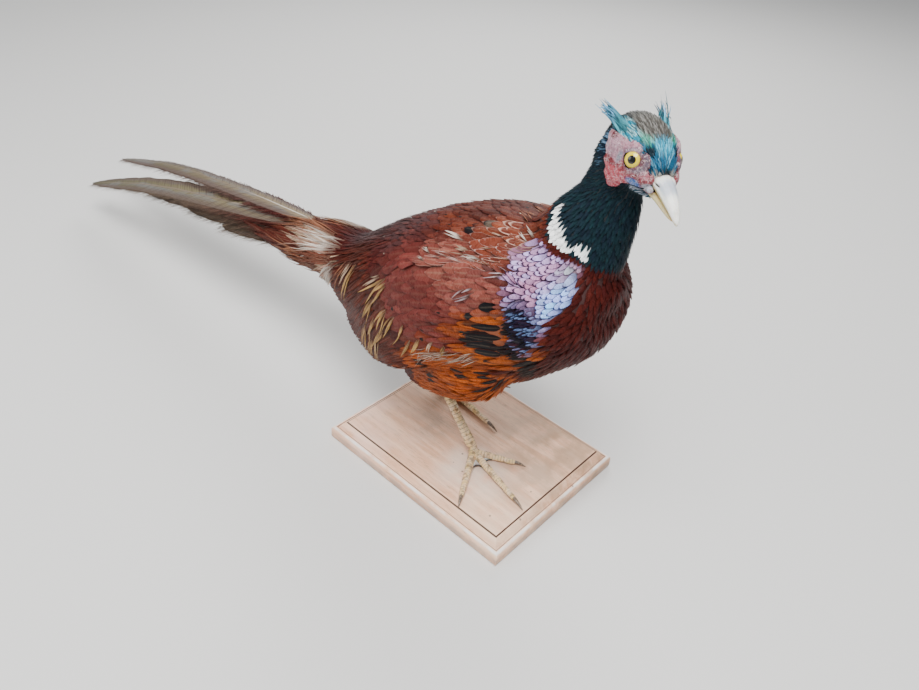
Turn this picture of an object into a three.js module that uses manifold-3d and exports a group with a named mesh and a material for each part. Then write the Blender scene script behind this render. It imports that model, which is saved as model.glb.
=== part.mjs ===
// Cock pheasant, mounted standing on a routed wooden board, its head turned to its right.
// Millimetres, +Z up, +X the way the bird faces, origin at the centre of the board's underside.
// The bird's right side is -Y. Each sub-part is one closed solid that carries the outline of its
// feathers, and neighbours are kept a thin gap apart.
import * as THREE from 'three';
import { mergeVertices } from 'three/addons/utils/BufferGeometryUtils.js';
import Module from 'manifold-3d';

const wasm = await Module();
wasm.setup();

// ---------------------------------------------------------------- driving dimensions
const GAP = 0.3; // clearance between touching sub-parts
const SIDES = { left: 1, right: -1 };
const BODY_Y = 4; // the bird's mid-plane over the board

// Board: outer size, then its moulded edge as inset from the outer face and height.
const BOARD = { length: 198, width: 157, height: 18 };
const BOARD_EDGE = [
  [0.8, 0], [0, 0.8], [0, 8.2], [0.5, 10.4], [1.6, 11.7], [3, 12], [4.2, 11.5], [4.8, 11.6],
  [6, 13], [7.4, 15.2], [8.6, 16.5], [9.9, 17.1], [10.1, 16.3], [10.5, 16.3], [10.8, 18],
];

// Rows of a loft: x, y, z of the centre, then half width and half height above and below it.
const TRUNK = [
  [109, 0, 214, 0, 0, 0],
  [103, 0, 214, 28, 30, 25],
  [85, 0, 208, 49, 50, 43],
  [56, 0, 195, 64, 65, 56],
  [18, 0, 178, 71, 72, 71],
  [-30, 0, 159, 69, 68, 75],
  [-80, 0, 141, 61, 57, 69],
  [-122, 0, 129, 48, 42, 52],
  [-155, 0, 126, 36, 28, 36],
  [-176, 0, 125, 24, 18, 22],
  [-184, 0, 125, 0, 0, 0],
];
const NECK = [
  [44, 0, 198, 0, 0, 0],
  [48, 0, 208, 36, 44, 26],
  [58, 0, 232, 34, 46, 28],
  [70, 0, 258, 26.5, 40, 26],
  [81, 0, 281, 17.5, 31, 18.5],
  [88, 0, 301, 14.5, 21, 18],
  [92, 0, 318, 12, 14, 16],
  [94, 0, 326, 0, 0, 0],
];
const WING = [
  [72, -44, 220, 0, 0, 0],
  [63, -50, 217, 10, 20, 23],
  [40, -57, 206, 13, 32, 36],
  [8, -60, 188, 15, 40, 42],
  [-30, -57, 160, 15, 43, 45],
  [-70, -50, 131, 13, 39, 44],
  [-104, -40, 109, 8, 28, 31],
  [-126, -33, 95, 5, 15, 13],
  [-135, -30, 90, 0, 0, 0],
];
const TAIL_COVERTS = [
  [-140, 0, 128, 0, 0, 0],
  [-148, 0, 128, 32, 26, 32],
  [-180, 0, 128, 33, 22, 28],
  [-215, -2, 124, 32, 19, 24],
  [-250, -3, 118, 28, 15, 17],
  [-278, -4, 114, 22, 10, 11],
  [-294, -5, 111, 0, 0, 0],
];

// Legs: where the toes meet, the heel and the knee, how far the thigh's feathers pass the heel,
// and the headings of the toes in degrees from +X.
const LEGS = {
  right: {
    foot: [16.5, -16], heel: [-35, -15, 84], knee: [34, -36, 132], fluff: 40,
    heading: { middle: -13.7, inner: 28.3, outer: -58.7, hind: 138.3 },
  },
  left: {
    foot: [-58.8, 30.7], heel: [-91, 30, 86], knee: [-2, 42, 130], fluff: 22,
    heading: { middle: -8, inner: -33, outer: 49, hind: 200 },
  },
};
const TOE_RADIUS = 3.2;
const TOES = {
  middle: { length: 60, claw: 12.5, lift: 0 },
  inner: { length: 37, claw: 10, lift: 0 },
  outer: { length: 51, claw: 10.5, lift: 0 },
  hind: { length: 15, claw: 7, lift: 5 },
};
// A toe along its length and then its claw: part of the way, height and radius in toe radii.
const TOE_PROFILE = [
  [-0.04, 1.3, 0], [0, 1.3, 1.05], [0.18, 1, 0.86], [0.33, 1.1, 1], [0.5, 0.85, 0.76],
  [0.62, 0.95, 0.88], [0.78, 0.75, 0.66], [0.93, 0.78, 0.72], [1, 0.8, 0.5],
];
const CLAW_PROFILE = [[0.5, 0.72, 0.36], [1, 0.1, 0]];
const PAD = { low: 0.8, middle: 3, radius: 5, neck: 4.2 }; // sole where the toes meet
const ANKLE_HEIGHT = 6.2;

// Shank from ankle to heel: part of the way and radius in shank radii.
const SHANK_RADIUS = 3.7;
const SHANK_PROFILE = [
  [0.03, 0], [0.06, 1.1], [0.14, 1.15], [0.3, 0.95], [0.6, 1], [0.85, 1.15], [0.98, 1.35], [1.04, 0],
];
const SPUR = { along: 0.36, radius: 2.6, middle: [-4, 2, -1], tip: [-10, 4, 0.5] };

// Thigh: distance past the heel towards the knee, half width and half height above and below.
const THIGH_END = [[-9, 0, 0, 0], [0, 12, 12, 11]];
const THIGH = [
  [-9, 21, 18, 19], [26, 25, 24, 22], [56, 27, 31, 24], [90, 23, 27, 21], [117, 0, 0, 0],
];

// Head: its centre, turn and tilt in degrees, then rows in its own axes, x forward, y left.
const HEAD = { centre: [104, 5, 315], turn: -30.8, nod: 6.4, lean: -4.3 };
const EYE = { radius: 6.2, at: [7.5, 12.6, 7] };
const SKULL = [
  [-36, 0, 2, 0, 0, 0],
  [-33.5, 0, 2, 10, 11, 10],
  [-24, 0, 2, 18, 20, 18],
  [-9, 0, 2.5, 20.5, 23.5, 20],
  [7, 0, 1.5, 18, 21.5, 17.5],
  [17, 0, -0.5, 13, 15, 13],
  [24.5, 0, -2.5, 8.5, 9, 9],
  [28, 0, -3, 0, 0, 0],
];
const WATTLE = [
  [-25, 19.5, -2, 0, 0, 0],
  [-23.5, 19.5, -3, 2.4, 9, 10],
  [-15, 19.4, -2.5, 3.4, 16, 15],
  [-5, 18.6, -0.5, 3.4, 16.5, 16],
  [4, 16.6, 1.5, 3.2, 15, 14],
  [11, 13.8, 0.5, 2.8, 10, 8],
  [17, 10.8, -2, 1.8, 4.5, 4],
  [20, 9.2, -3, 0, 0, 0],
];
const BILL_UPPER = [
  [19, 0, 2, 0, 0, 0],
  [21, 0, 1.6, 6.2, 5.2, 4.8],
  [28, 0, 0.6, 5.8, 5.4, 4.6],
  [36, 0, -2.2, 4.8, 4.8, 3.6],
  [44, 0, -5.6, 3.2, 3.4, 2.2],
  [49, 0, -8.8, 1.5, 1.6, 1.4],
  [50.5, 0, -10.4, 0, 0, 0],
];
const BILL_LOWER = [
  [17, 0, -6, 0, 0, 0],
  [19, 0, -6, 5.8, 2, 2.4],
  [28, 0, -6.4, 5, 2.2, 2.4],
  [37, 0, -8, 3.6, 1.8, 1.9],
  [43, 0, -9.6, 2, 1, 1],
  [45.5, 0, -10.4, 0, 0, 0],
];
const EAR_TUFT = [
  [-10, 12.5, 15, 0, 0, 0],
  [-12, 13.5, 17, 4.4, 3.2, 3.2],
  [-17, 15.5, 20, 4.6, 3, 3],
  [-25, 17.8, 20.6, 3.4, 2.2, 2.2],
  [-32, 19.6, 21.4, 1.6, 1.1, 1.1],
  [-35, 20.4, 22, 0, 0, 0],
];

// Tail: ridge height and ridge y along x, and each feather's tip, half width and layer.
const TAIL_RIDGE = [
  [-165, 8, 146], [-230, 9, 140], [-300, 10, 131], [-370, 12, 120],
  [-440, 13, 108], [-510, 15, 92], [-570, 16, 74], [-640, 17, 52],
];
const TAIL_ROOT_X = -188;
const STACK = { rootHalf: 17, flare: 0.13, spare: 0.6 }; // room for the quills; spare in layers
const BLADE = { thickness: 1.2, spacing: 2.3, slope: 0.5, crown: 15 };
const BLADE_STEPS = 12;
const FAN_CURVE = 0.9; // below 1 the feathers part sooner
const STACK_X = [-187, -215, -250, -320];
const RECTRICES = [
  { name: 'central', left: [-624, 14, 12.5], right: [-621, -31, 13.5] },
  { name: 'second', left: [-490, 16, 11], right: [-480, -26, 13] },
  { name: 'third', left: [-400, 20, 11], right: [-400, -24, 12.5] },
  { name: 'outer', left: [-325, 24, 10], right: [-335, -24, 12] },
];

// ---------------------------------------------------------------- shaping helpers
const UP = new THREE.Vector3(0, 0, 1);
const FORWARD = new THREE.Vector3(1, 0, 0);

// Catmull-Rom value of a table of rows at 0..1 along it.
function rowAt(rows, along) {
  const spans = rows.length - 1;
  const scaled = Math.min(along * spans, spans - 1e-9);
  const i = Math.floor(scaled);
  const t = scaled - i;
  const a = rows[Math.max(i - 1, 0)];
  const b = rows[i];
  const c = rows[i + 1];
  const d = rows[Math.min(i + 2, spans)];
  return b.map((_, k) => 0.5 * (2 * b[k] + (c[k] - a[k]) * t
    + (2 * a[k] - 5 * b[k] + 4 * c[k] - d[k]) * t * t
    + (3 * b[k] - a[k] - 3 * c[k] + d[k]) * t * t * t));
}

// Turns a closed geometry's faces outwards.
function outward(geometry) {
  const position = geometry.getAttribute('position');
  const index = geometry.getIndex();
  const corner = [0, 1, 2].map(() => new THREE.Vector3());
  let volume = 0;
  for (let i = 0; i < index.count; i += 3) {
    corner.forEach((v, k) => v.fromBufferAttribute(position, index.getX(i + k)));
    volume += corner[0].dot(corner[1].clone().cross(corner[2]));
  }
  if (volume > 0) return geometry;
  for (let i = 0; i < index.count; i += 3) {
    const first = index.getX(i);
    index.setX(i, index.getX(i + 1));
    index.setX(i + 1, first);
  }
  return geometry;
}

// A closed skin over rings of equal count; a ring of one point is a pole.
function skinRings(rings) {
  const positions = [];
  const starts = rings.map((ring) => {
    const start = positions.length / 3;
    ring.forEach((point) => positions.push(point.x, point.y, point.z));
    return start;
  });
  const index = [];
  for (let r = 0; r < rings.length - 1; r += 1) {
    const here = rings[r].length;
    const next = rings[r + 1].length;
    for (let k = 0; k < Math.max(here, next); k += 1) {
      const a = starts[r] + (k % here);
      const b = starts[r] + ((k + 1) % here);
      const c = starts[r + 1] + (k % next);
      const d = starts[r + 1] + ((k + 1) % next);
      if (here > 1) index.push(a, b, c);
      if (next > 1) index.push(b, d, c);
    }
  }
  return outward(new THREE.BufferGeometry()
    .setAttribute('position', new THREE.Float32BufferAttribute(positions, 3))
    .setIndex(index));
}

// A round-sectioned body along a table of rows. up is the way its "above" faces, and grow
// swells it all round.
function loft(rows, { steps, sides, up = UP, grow = 0 }) {
  const centre = (along) => new THREE.Vector3(...rowAt(rows, along));
  const rings = [];
  for (let s = 0; s <= steps; s += 1) {
    const along = s / steps;
    const [, , , wide, above, below] = rowAt(rows, along);
    const ahead = centre(Math.min(along + 0.01, 1));
    const tangent = ahead.sub(centre(Math.max(along - 0.01, 0))).normalize();
    if (s === 0 || s === steps) {
      rings.push([centre(along).addScaledVector(tangent, s === 0 ? -grow : grow)]);
    } else {
      const side = new THREE.Vector3().crossVectors(tangent, up).normalize();
      const top = new THREE.Vector3().crossVectors(side, tangent);
      rings.push(Array.from({ length: sides }, (_, k) => {
        const angle = (2 * Math.PI * k) / sides;
        const rise = Math.sin(angle);
        return centre(along)
          .addScaledVector(side, Math.cos(angle) * (wide + grow))
          .addScaledVector(top, rise * ((rise > 0 ? above : below) + grow));
      }));
    }
  }
  return skinRings(rings);
}

// Rows of the bird's right side, moved over the board and mirrored for its left side.
function onSide(rows, side) {
  return rows.map(([x, y, z, ...sizes]) => [x, BODY_Y - side * y, z, ...sizes]);
}

// ---------------------------------------------------------------- joining and cutting
function solid(geometry) {
  const bare = new THREE.BufferGeometry()
    .setAttribute('position', geometry.getAttribute('position'))
    .setIndex(geometry.getIndex());
  const merged = mergeVertices(bare, 1e-4);
  return new wasm.Manifold(new wasm.Mesh({
    numProp: 3,
    vertProperties: new Float32Array(merged.getAttribute('position').array),
    triVerts: new Uint32Array(merged.getIndex().array),
  }));
}

function shape(manifold) {
  const mesh = manifold.getMesh();
  return new THREE.BufferGeometry()
    .setAttribute('position', new THREE.Float32BufferAttribute(mesh.vertProperties, 3))
    .setIndex(new THREE.Uint32BufferAttribute(mesh.triVerts, 1));
}

const bird = new THREE.Group();

function add(name, manifold, { color, roughness, metalness = 0 }) {
  const mesh = new THREE.Mesh(
    shape(manifold),
    new THREE.MeshStandardMaterial({ color, roughness, metalness }),
  );
  mesh.name = name;
  bird.add(mesh);
}

const FINISH = {
  wood: { color: 0xc79a7c, roughness: 0.6 },
  chestnut: { color: 0x7a2c1a, roughness: 0.6 },
  burgundy: { color: 0x6b2418, roughness: 0.6 },
  orange: { color: 0xc45a1e, roughness: 0.65 },
  neck: { color: 0x0d2830, roughness: 0.4, metalness: 0.2 },
  crown: { color: 0x3f5f5a, roughness: 0.5 },
  tuft: { color: 0x1f7f96, roughness: 0.4 },
  wattle: { color: 0xb8484c, roughness: 0.55 },
  bill: { color: 0xe2dcc8, roughness: 0.4 },
  eye: { color: 0xe8c81c, roughness: 0.1 },
  leg: { color: 0xc9bf94, roughness: 0.5 },
  tail: { color: 0x8a765c, roughness: 0.6 },
};

// ---------------------------------------------------------------- board
// A rectangle of the board's outline drawn in by inset at height z.
function boardRing([inset, z]) {
  const x = BOARD.length / 2 - inset;
  const y = BOARD.width / 2 - inset;
  return [[x, y], [-x, y], [-x, -y], [x, -y]].map(([px, py]) => new THREE.Vector3(px, py, z));
}

const capPoint = (z) => [new THREE.Vector3(0, 0, z)];
const boardRings = [capPoint(0), ...BOARD_EDGE.map(boardRing), capPoint(BOARD.height)];
add('base_board', solid(skinRings(boardRings)), FINISH.wood);

// ---------------------------------------------------------------- tail feathers
// Height and y of the tail's ridge at x.
function ridgeAt(x) {
  const at = TAIL_RIDGE.findIndex(([next]) => next <= x);
  const [x1, y1, z1] = TAIL_RIDGE[Math.max(at, 1)];
  const [x0, y0, z0] = TAIL_RIDGE[Math.max(at, 1) - 1];
  const t = (x - x0) / (x1 - x0);
  return { y: y0 + (y1 - y0) * t, z: z0 + (z1 - z0) * t };
}

// Height of a tail layer at x, y: the ridge, falling away to each side like a low roof.
function tailHeight(x, y, layer) {
  const ridge = ridgeAt(x);
  const away = Math.hypot(y - ridge.y, BLADE.crown) - BLADE.crown;
  return ridge.z - BLADE.slope * away - layer * BLADE.spacing;
}

// Rings with a middle point added before the first and after the last, to close a cut end.
function closedEnds(rings) {
  const middle = (ring) => ring.reduce((sum, point) => sum.addScaledVector(point, 1 / ring.length),
    new THREE.Vector3());
  return [[middle(rings[0])], ...rings, [middle(rings[rings.length - 1])]];
}

// Part of its full width that a feather has at 0..1 along it: narrow root, long pointed tip.
function vaneWidth(along) {
  return Math.min(1, 0.45 + 2.2 * along) * (1 - along ** 3) ** 0.6;
}

// One long feather as a thin blade lying in its layer.
function blade([tipX, tipY, halfWidth], layer) {
  const rings = [];
  for (let s = 0; s <= BLADE_STEPS; s += 1) {
    const along = s / BLADE_STEPS;
    const x = TAIL_ROOT_X + (tipX - TAIL_ROOT_X) * along;
    const y = BODY_Y + (tipY - BODY_Y) * along ** FAN_CURVE;
    const reach = halfWidth * vaneWidth(along);
    if (s === BLADE_STEPS) {
      rings.push([new THREE.Vector3(x, y, tailHeight(x, y, layer) - BLADE.thickness / 2)]);
    } else {
      const across = (lift) => [-1, 0, 1].map((k) => {
        const py = y + k * reach;
        return new THREE.Vector3(x, py, tailHeight(x, py, layer) + lift);
      });
      rings.push([...across(0), ...across(-BLADE.thickness).reverse()]);
    }
  }
  return solid(skinRings(closedEnds(rings)));
}

RECTRICES.forEach((pair, k) => {
  Object.keys(SIDES).forEach((name, n) => {
    add(`tail_${pair.name}_${name}`, blade(pair[name], 2 * k + n), FINISH.tail);
  });
});

// The room that the stack of feathers takes up inside the coverts.
const stackRings = STACK_X.map((x) => {
  const half = STACK.rootHalf + STACK.flare * (TAIL_ROOT_X - x);
  const across = (layer) => [-1, -0.5, 0, 0.5, 1].map((k) => {
    const y = BODY_Y + k * half;
    return new THREE.Vector3(x, y, tailHeight(x, y, layer));
  });
  return [...across(-STACK.spare), ...across(2 * RECTRICES.length + STACK.spare).reverse()];
});
const quills = solid(skinRings(closedEnds(stackRings)));

// ---------------------------------------------------------------- trunk, neck and wings
const TRUNK_GRID = { steps: 20, sides: 18 };
const NECK_GRID = { steps: 12, sides: 16, up: FORWARD };
const WING_GRID = { steps: 13, sides: 10 };
const COVERTS_GRID = { steps: 12, sides: 14 };
const trunkRows = onSide(TRUNK, -1);
const trunkRoom = solid(loft(trunkRows, { ...TRUNK_GRID, grow: GAP }));

let trunk = solid(loft(trunkRows, TRUNK_GRID));
for (const [name, side] of Object.entries(SIDES)) {
  const rows = onSide(WING, side);
  trunk = trunk.subtract(solid(loft(rows, { ...WING_GRID, grow: GAP })));
  add(`wing_${name}`, solid(loft(rows, WING_GRID)), FINISH.burgundy);
}

const coverts = solid(loft(onSide(TAIL_COVERTS, -1), COVERTS_GRID));
add('tail_coverts', coverts.subtract(trunkRoom).subtract(quills), FINISH.chestnut);

// ---------------------------------------------------------------- legs
const BOARD_TOP = BOARD.height + GAP;
const TOE_GRID = { steps: 12, sides: 6 };
const SPUR_GRID = { steps: 4, sides: 5 };
const PAD_GRID = { steps: 4, sides: 6, up: FORWARD };
const SHANK_GRID = { steps: 9, sides: 8 };
const THIGH_GRID = { steps: 10, sides: 12 };

// A tapering, round-sectioned limb through points of [x, y, z, radius].
function limb(points, grid) {
  return solid(loft(points.map(([x, y, z, r]) => [x, y, z, r, r, r]), grid));
}

// A toe with its joints and claw, from where the toes meet.
function toe([x, y], heading, { length, claw, lift }) {
  const angle = THREE.MathUtils.degToRad(heading);
  const at = (reach, height, radius) => [
    x + Math.cos(angle) * reach, y + Math.sin(angle) * reach,
    BOARD_TOP + height * TOE_RADIUS, radius * TOE_RADIUS];
  const raised = (along) => (lift * Math.max(1 - along, 0)) / TOE_RADIUS;
  return limb([
    ...TOE_PROFILE.map(([t, height, radius]) => at(t * length, height + raised(t), radius)),
    ...CLAW_PROFILE.map(([t, height, radius]) => at(length + t * claw, height, radius)),
  ], TOE_GRID);
}

// The point part of the way from one point to another, followed by any sizes.
function between(from, to, part, ...sizes) {
  return [...from.map((value, axis) => value + (to[axis] - value) * part), ...sizes];
}

for (const [name, side] of Object.entries(SIDES)) {
  const { foot, heel, knee, fluff, heading } = LEGS[name];
  const ankle = [...foot, BOARD_TOP + ANKLE_HEIGHT];
  const shankPoints = SHANK_PROFILE.map(([part, radius]) => (
    between(ankle, heel, part, radius * SHANK_RADIUS)));
  const spurRoot = between(ankle, heel, SPUR.along);
  const spurPoint = ([x, y, z], radius) => [
    spurRoot[0] + x, spurRoot[1] - side * y, spurRoot[2] + z, radius];
  const spur = limb([
    [...spurRoot, SPUR.radius],
    spurPoint(SPUR.middle, SPUR.radius * 0.75),
    spurPoint(SPUR.tip, 0),
  ], SPUR_GRID);
  const sole = limb([
    [...foot, BOARD_TOP + PAD.low, 0],
    [...foot, BOARD_TOP + PAD.middle, PAD.radius],
    [...ankle, PAD.neck],
    between(ankle, heel, 0.05, 0),
  ], PAD_GRID);
  const footSolid = Object.entries(TOES).reduce(
    (all, [digit, sizes]) => all.add(toe(foot, heading[digit], sizes)), sole);

  const thighLength = new THREE.Vector3(...knee).distanceTo(new THREE.Vector3(...heel));
  const thighRows = [...THIGH_END.map(([x, ...sizes]) => [x - fluff, ...sizes]), ...THIGH]
    .map(([reach, ...sizes]) => between(heel, knee, reach / thighLength, ...sizes));
  const wingRoom = solid(loft(onSide(WING, side), { ...WING_GRID, grow: GAP }));
  const thighRoom = solid(loft(thighRows, { ...THIGH_GRID, grow: GAP }));
  trunk = trunk.subtract(thighRoom);
  add(`thigh_${name}`, solid(loft(thighRows, THIGH_GRID)).subtract(wingRoom), FINISH.orange);
  const shank = limb(shankPoints, SHANK_GRID).add(spur);
  const shankRoom = limb(shankPoints, { ...SHANK_GRID, grow: GAP });
  add(`shank_${name}`, shank.subtract(thighRoom).subtract(trunkRoom), FINISH.leg);
  add(`foot_${name}`, footSolid.subtract(shankRoom), FINISH.leg);
}
add('trunk', trunk, FINISH.chestnut);

// ---------------------------------------------------------------- head
const { centre, turn, nod, lean } = HEAD;
const headPose = new THREE.Matrix4().makeRotationFromEuler(new THREE.Euler(
  ...[lean, nod, turn].map(THREE.MathUtils.degToRad), 'ZYX')).setPosition(...centre);

// A loft given in the head's own axes, and a copy of it swelled by the gap.
function headLoft(rows, grid, grow = 0) {
  return solid(loft(rows, { ...grid, grow }).applyMatrix4(headPose));
}

const EYE_GRID = [10, 8];
const eyeAt = (side, grow) => solid(new THREE.SphereGeometry(EYE.radius + grow, ...EYE_GRID)
  .translate(EYE.at[0], side * EYE.at[1], EYE.at[2])
  .applyMatrix4(headPose));
const mirrored = (rows, side) => rows.map(([x, y, ...rest]) => [x, y * side, ...rest]);
const SKULL_GRID = { steps: 13, sides: 14 };
const BILL_GRID = { steps: 10, sides: 10 };
const WATTLE_GRID = { steps: 9, sides: 8 };
const TUFT_GRID = { steps: 7, sides: 6 };

let head = headLoft(SKULL, SKULL_GRID);
const upperBill = headLoft(BILL_UPPER, BILL_GRID);
const upperRoom = headLoft(BILL_UPPER, BILL_GRID, GAP);
const lowerBill = headLoft(BILL_LOWER, BILL_GRID).subtract(upperRoom);
head = head.subtract(upperRoom).subtract(headLoft(BILL_LOWER, BILL_GRID, GAP));
add('bill_upper', upperBill, FINISH.bill);
add('bill_lower', lowerBill, FINISH.bill);
for (const [name, side] of Object.entries(SIDES)) {
  const wattleRows = mirrored(WATTLE, side);
  const tuftRows = mirrored(EAR_TUFT, side);
  add(`eye_${name}`, eyeAt(side, 0), FINISH.eye);
  add(`wattle_${name}`, headLoft(wattleRows, WATTLE_GRID).subtract(eyeAt(side, GAP)), FINISH.wattle);
  add(`ear_tuft_${name}`, headLoft(tuftRows, TUFT_GRID), FINISH.tuft);
  head = head.subtract(eyeAt(side, GAP))
    .subtract(headLoft(wattleRows, WATTLE_GRID, GAP))
    .subtract(headLoft(tuftRows, TUFT_GRID, GAP));
}
add('head', head, FINISH.crown);

let neck = solid(loft(onSide(NECK, -1), NECK_GRID))
  .subtract(trunkRoom)
  .subtract(headLoft(SKULL, SKULL_GRID, GAP));
for (const side of Object.values(SIDES)) {
  neck = neck.subtract(headLoft(mirrored(WATTLE, side), WATTLE_GRID, GAP));
}
add('neck', neck, FINISH.neck);

export default bird;
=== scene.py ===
import math

import bmesh
import bpy
import numpy as np
from mathutils import Matrix, Vector
from mathutils.bvhtree import BVHTree


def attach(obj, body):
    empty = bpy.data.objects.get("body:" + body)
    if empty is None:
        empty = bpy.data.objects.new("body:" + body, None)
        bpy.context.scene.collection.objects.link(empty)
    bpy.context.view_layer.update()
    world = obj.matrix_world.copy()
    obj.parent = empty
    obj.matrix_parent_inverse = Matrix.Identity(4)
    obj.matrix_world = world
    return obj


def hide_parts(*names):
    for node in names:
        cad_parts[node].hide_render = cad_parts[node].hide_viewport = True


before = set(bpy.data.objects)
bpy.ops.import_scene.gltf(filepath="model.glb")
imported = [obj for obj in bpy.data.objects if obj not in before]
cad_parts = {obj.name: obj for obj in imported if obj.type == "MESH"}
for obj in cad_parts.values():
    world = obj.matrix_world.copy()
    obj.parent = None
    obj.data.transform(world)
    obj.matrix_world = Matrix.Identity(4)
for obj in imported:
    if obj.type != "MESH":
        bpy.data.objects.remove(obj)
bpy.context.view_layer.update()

MM = 0.001
SIDES = ((1, "left"), (-1, "right"))

# ---------------------------------------------------------------- view, floor and light
# The mount stands on a plain pale sweep and is seen from its right front, well above, as a
# visitor looks down on it. Two soft boxes and a pale surround light it like open shade.
EYE_POINT = Vector((0.31122, -0.39855, 0.50382))
HEADING = math.radians(129.97)
DIP = math.radians(37.29)
ROLL = math.radians(5.03)
FOCAL_MM = 30.55
SENSOR_MM = 36.0


def view_basis(heading, dip, roll):
    """Right, up and back directions of a camera turned, dipped and then rolled."""
    ahead = Vector((math.cos(heading) * math.cos(dip), math.sin(heading) * math.cos(dip),
                    -math.sin(dip)))
    level = Vector((math.sin(heading), -math.cos(heading), 0))
    over = level.cross(ahead)
    right = level * math.cos(roll) + over * math.sin(roll)
    return Matrix((right, right.cross(ahead), -ahead)).transposed()


bpy.ops.object.select_all(action="DESELECT")
bpy.ops.object.camera_add(location=EYE_POINT)
camera = bpy.context.object
camera.matrix_world = Matrix.Translation(EYE_POINT) @ view_basis(HEADING, DIP, ROLL).to_4x4()
camera.data.lens = FOCAL_MM
camera.data.sensor_width = SENSOR_MM
camera.data.clip_start = 0.01
bpy.context.scene.camera = camera

bpy.ops.mesh.primitive_plane_add(size=12, location=(-0.2, 0.4, -0.0004))
floor = bpy.context.object
floor.name = "floor"
sweep = bpy.data.materials.new("pale_floor")
sweep.use_nodes = True
sweep.node_tree.nodes["Principled BSDF"].inputs["Base Color"].default_value = (0.72, 0.71, 0.69, 1)
sweep.node_tree.nodes["Principled BSDF"].inputs["Roughness"].default_value = 0.8
floor.data.materials.append(sweep)

for light_name, spot, aim, width, watts in (
    ("light_over", (0.35, -0.5, 1.75), (-0.05, 0, 0.15), 1.1, 56),
    ("light_side", (-0.9, -1.4, 0.8), (-0.1, 0, 0.15), 1.0, 9),
    ("light_back", (-0.8, 1.2, 1.2), (0, 0, 0.2), 0.9, 20),
):
    bpy.ops.object.light_add(type="AREA", location=spot)
    lamp = bpy.context.object
    lamp.name = light_name
    lamp.data.size = width
    lamp.data.energy = watts
    lamp.rotation_euler = (Vector(aim) - Vector(spot)).to_track_quat("-Z", "Y").to_euler()

surround = bpy.data.worlds.new("surround")
surround.use_nodes = True
surround.node_tree.nodes["Background"].inputs["Color"].default_value = (0.93, 0.96, 1.0, 1)
surround.node_tree.nodes["Background"].inputs["Strength"].default_value = 0.38
bpy.context.scene.world = surround

# ---------------------------------------------------------------- wooden board
# A rectangular plaque of pale oak-like wood, its edge run with a bead and an ogee and a fine
# groove cut round the field. The finish is dull with age and dust; a highlight is painted along
# the bead, and shade is painted in the grooves, on the sides and over the field's +x end.
BOARD_LENGTH, BOARD_WIDTH, BOARD_THICK = 198.0, 157.0, 18.0
FOOT_INSET, FOOT_THICK = 0.8, 0.2
VERTICAL_TOP = 8.2
BEAD_IN, BEAD_UP, BEAD_STEPS = 3.0, 3.8, 7
OGEE_START, OGEE_IN, OGEE_UP, OGEE_STEPS = (4.8, 11.6), 5.1, 5.5, 10
GROOVE = [(10.1, 16.2), (10.5, 16.1), (10.8, 17.8), (11.1, 18.0)]
# Painted shade lies dark in the grooves: inset from, to, and how dark, the first that fits
# counting.
GROOVE_SHADE = ((9.95, 10.7, 1.0), (3.5, 4.5, 0.8), (9.7, 10.9, 0.6))
# Stains on the field, the first a broad painted shade over its +x end: x, y, core and reach in
# metres, amount, colour.
STAINS_AND_SHADE = [
    # Painted shade: a broad brown darkening over the field's +x end.
    (0.085, 0.045, 0.03, 0.12, 0.8, (0.44, 0.26, 0.15)),
    (0.085, -0.075, 0.01, 0.085, 0.5, (0.99, 0.74, 0.54)),
    (-0.085, -0.06, 0.01, 0.08, 0.6, (0.99, 0.68, 0.57)),
    (-0.034, -0.008, 0.004, 0.034, 0.45, (0.26, 0.21, 0.18)),
    (-0.06, 0.04, 0.01, 0.05, 0.5, (0.28, 0.20, 0.15)),
    (0.028, -0.026, 0.014, 0.042, 0.5, (0.95, 0.82, 0.72)),
]


def board_profile():
    """Inset from the outer face and height, in mm, from the foot to the field."""
    outline = [(0.25, 0.25), (0.0, 0.8), (0.0, VERTICAL_TOP)]
    for k in range(1, BEAD_STEPS + 1):
        angle = math.pi / 2 * k / BEAD_STEPS
        outline.append((BEAD_IN * (1 - math.cos(angle)), VERTICAL_TOP + BEAD_UP * math.sin(angle)))
    outline += [(3.7, 11.85), (4.2, 11.5), OGEE_START]
    for k in range(1, OGEE_STEPS + 1):
        part = k / OGEE_STEPS
        climb = math.sin(part * math.pi / 2) ** 1.1
        outline.append((OGEE_START[0] + OGEE_IN * part, OGEE_START[1] + OGEE_UP * climb))
    return outline + GROOVE


def fresh_object(name, build):
    """Runs a primitive operator with nothing else selected and names what it makes."""
    bpy.ops.object.select_all(action="DESELECT")
    build()
    made = bpy.context.object
    made.name = made.data.name = name
    return made


def settle():
    """Gives the selected objects' place, turn and size to their meshes."""
    bpy.ops.object.transform_apply(location=True, rotation=True, scale=True)


def worked(made, kind, **settings):
    """Adds a modifier to the active object and applies it."""
    tool = made.modifiers.new(kind.lower(), kind)
    for key, value in settings.items():
        setattr(tool, key, value)
    bpy.ops.object.modifier_apply(modifier=tool.name)


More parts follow.
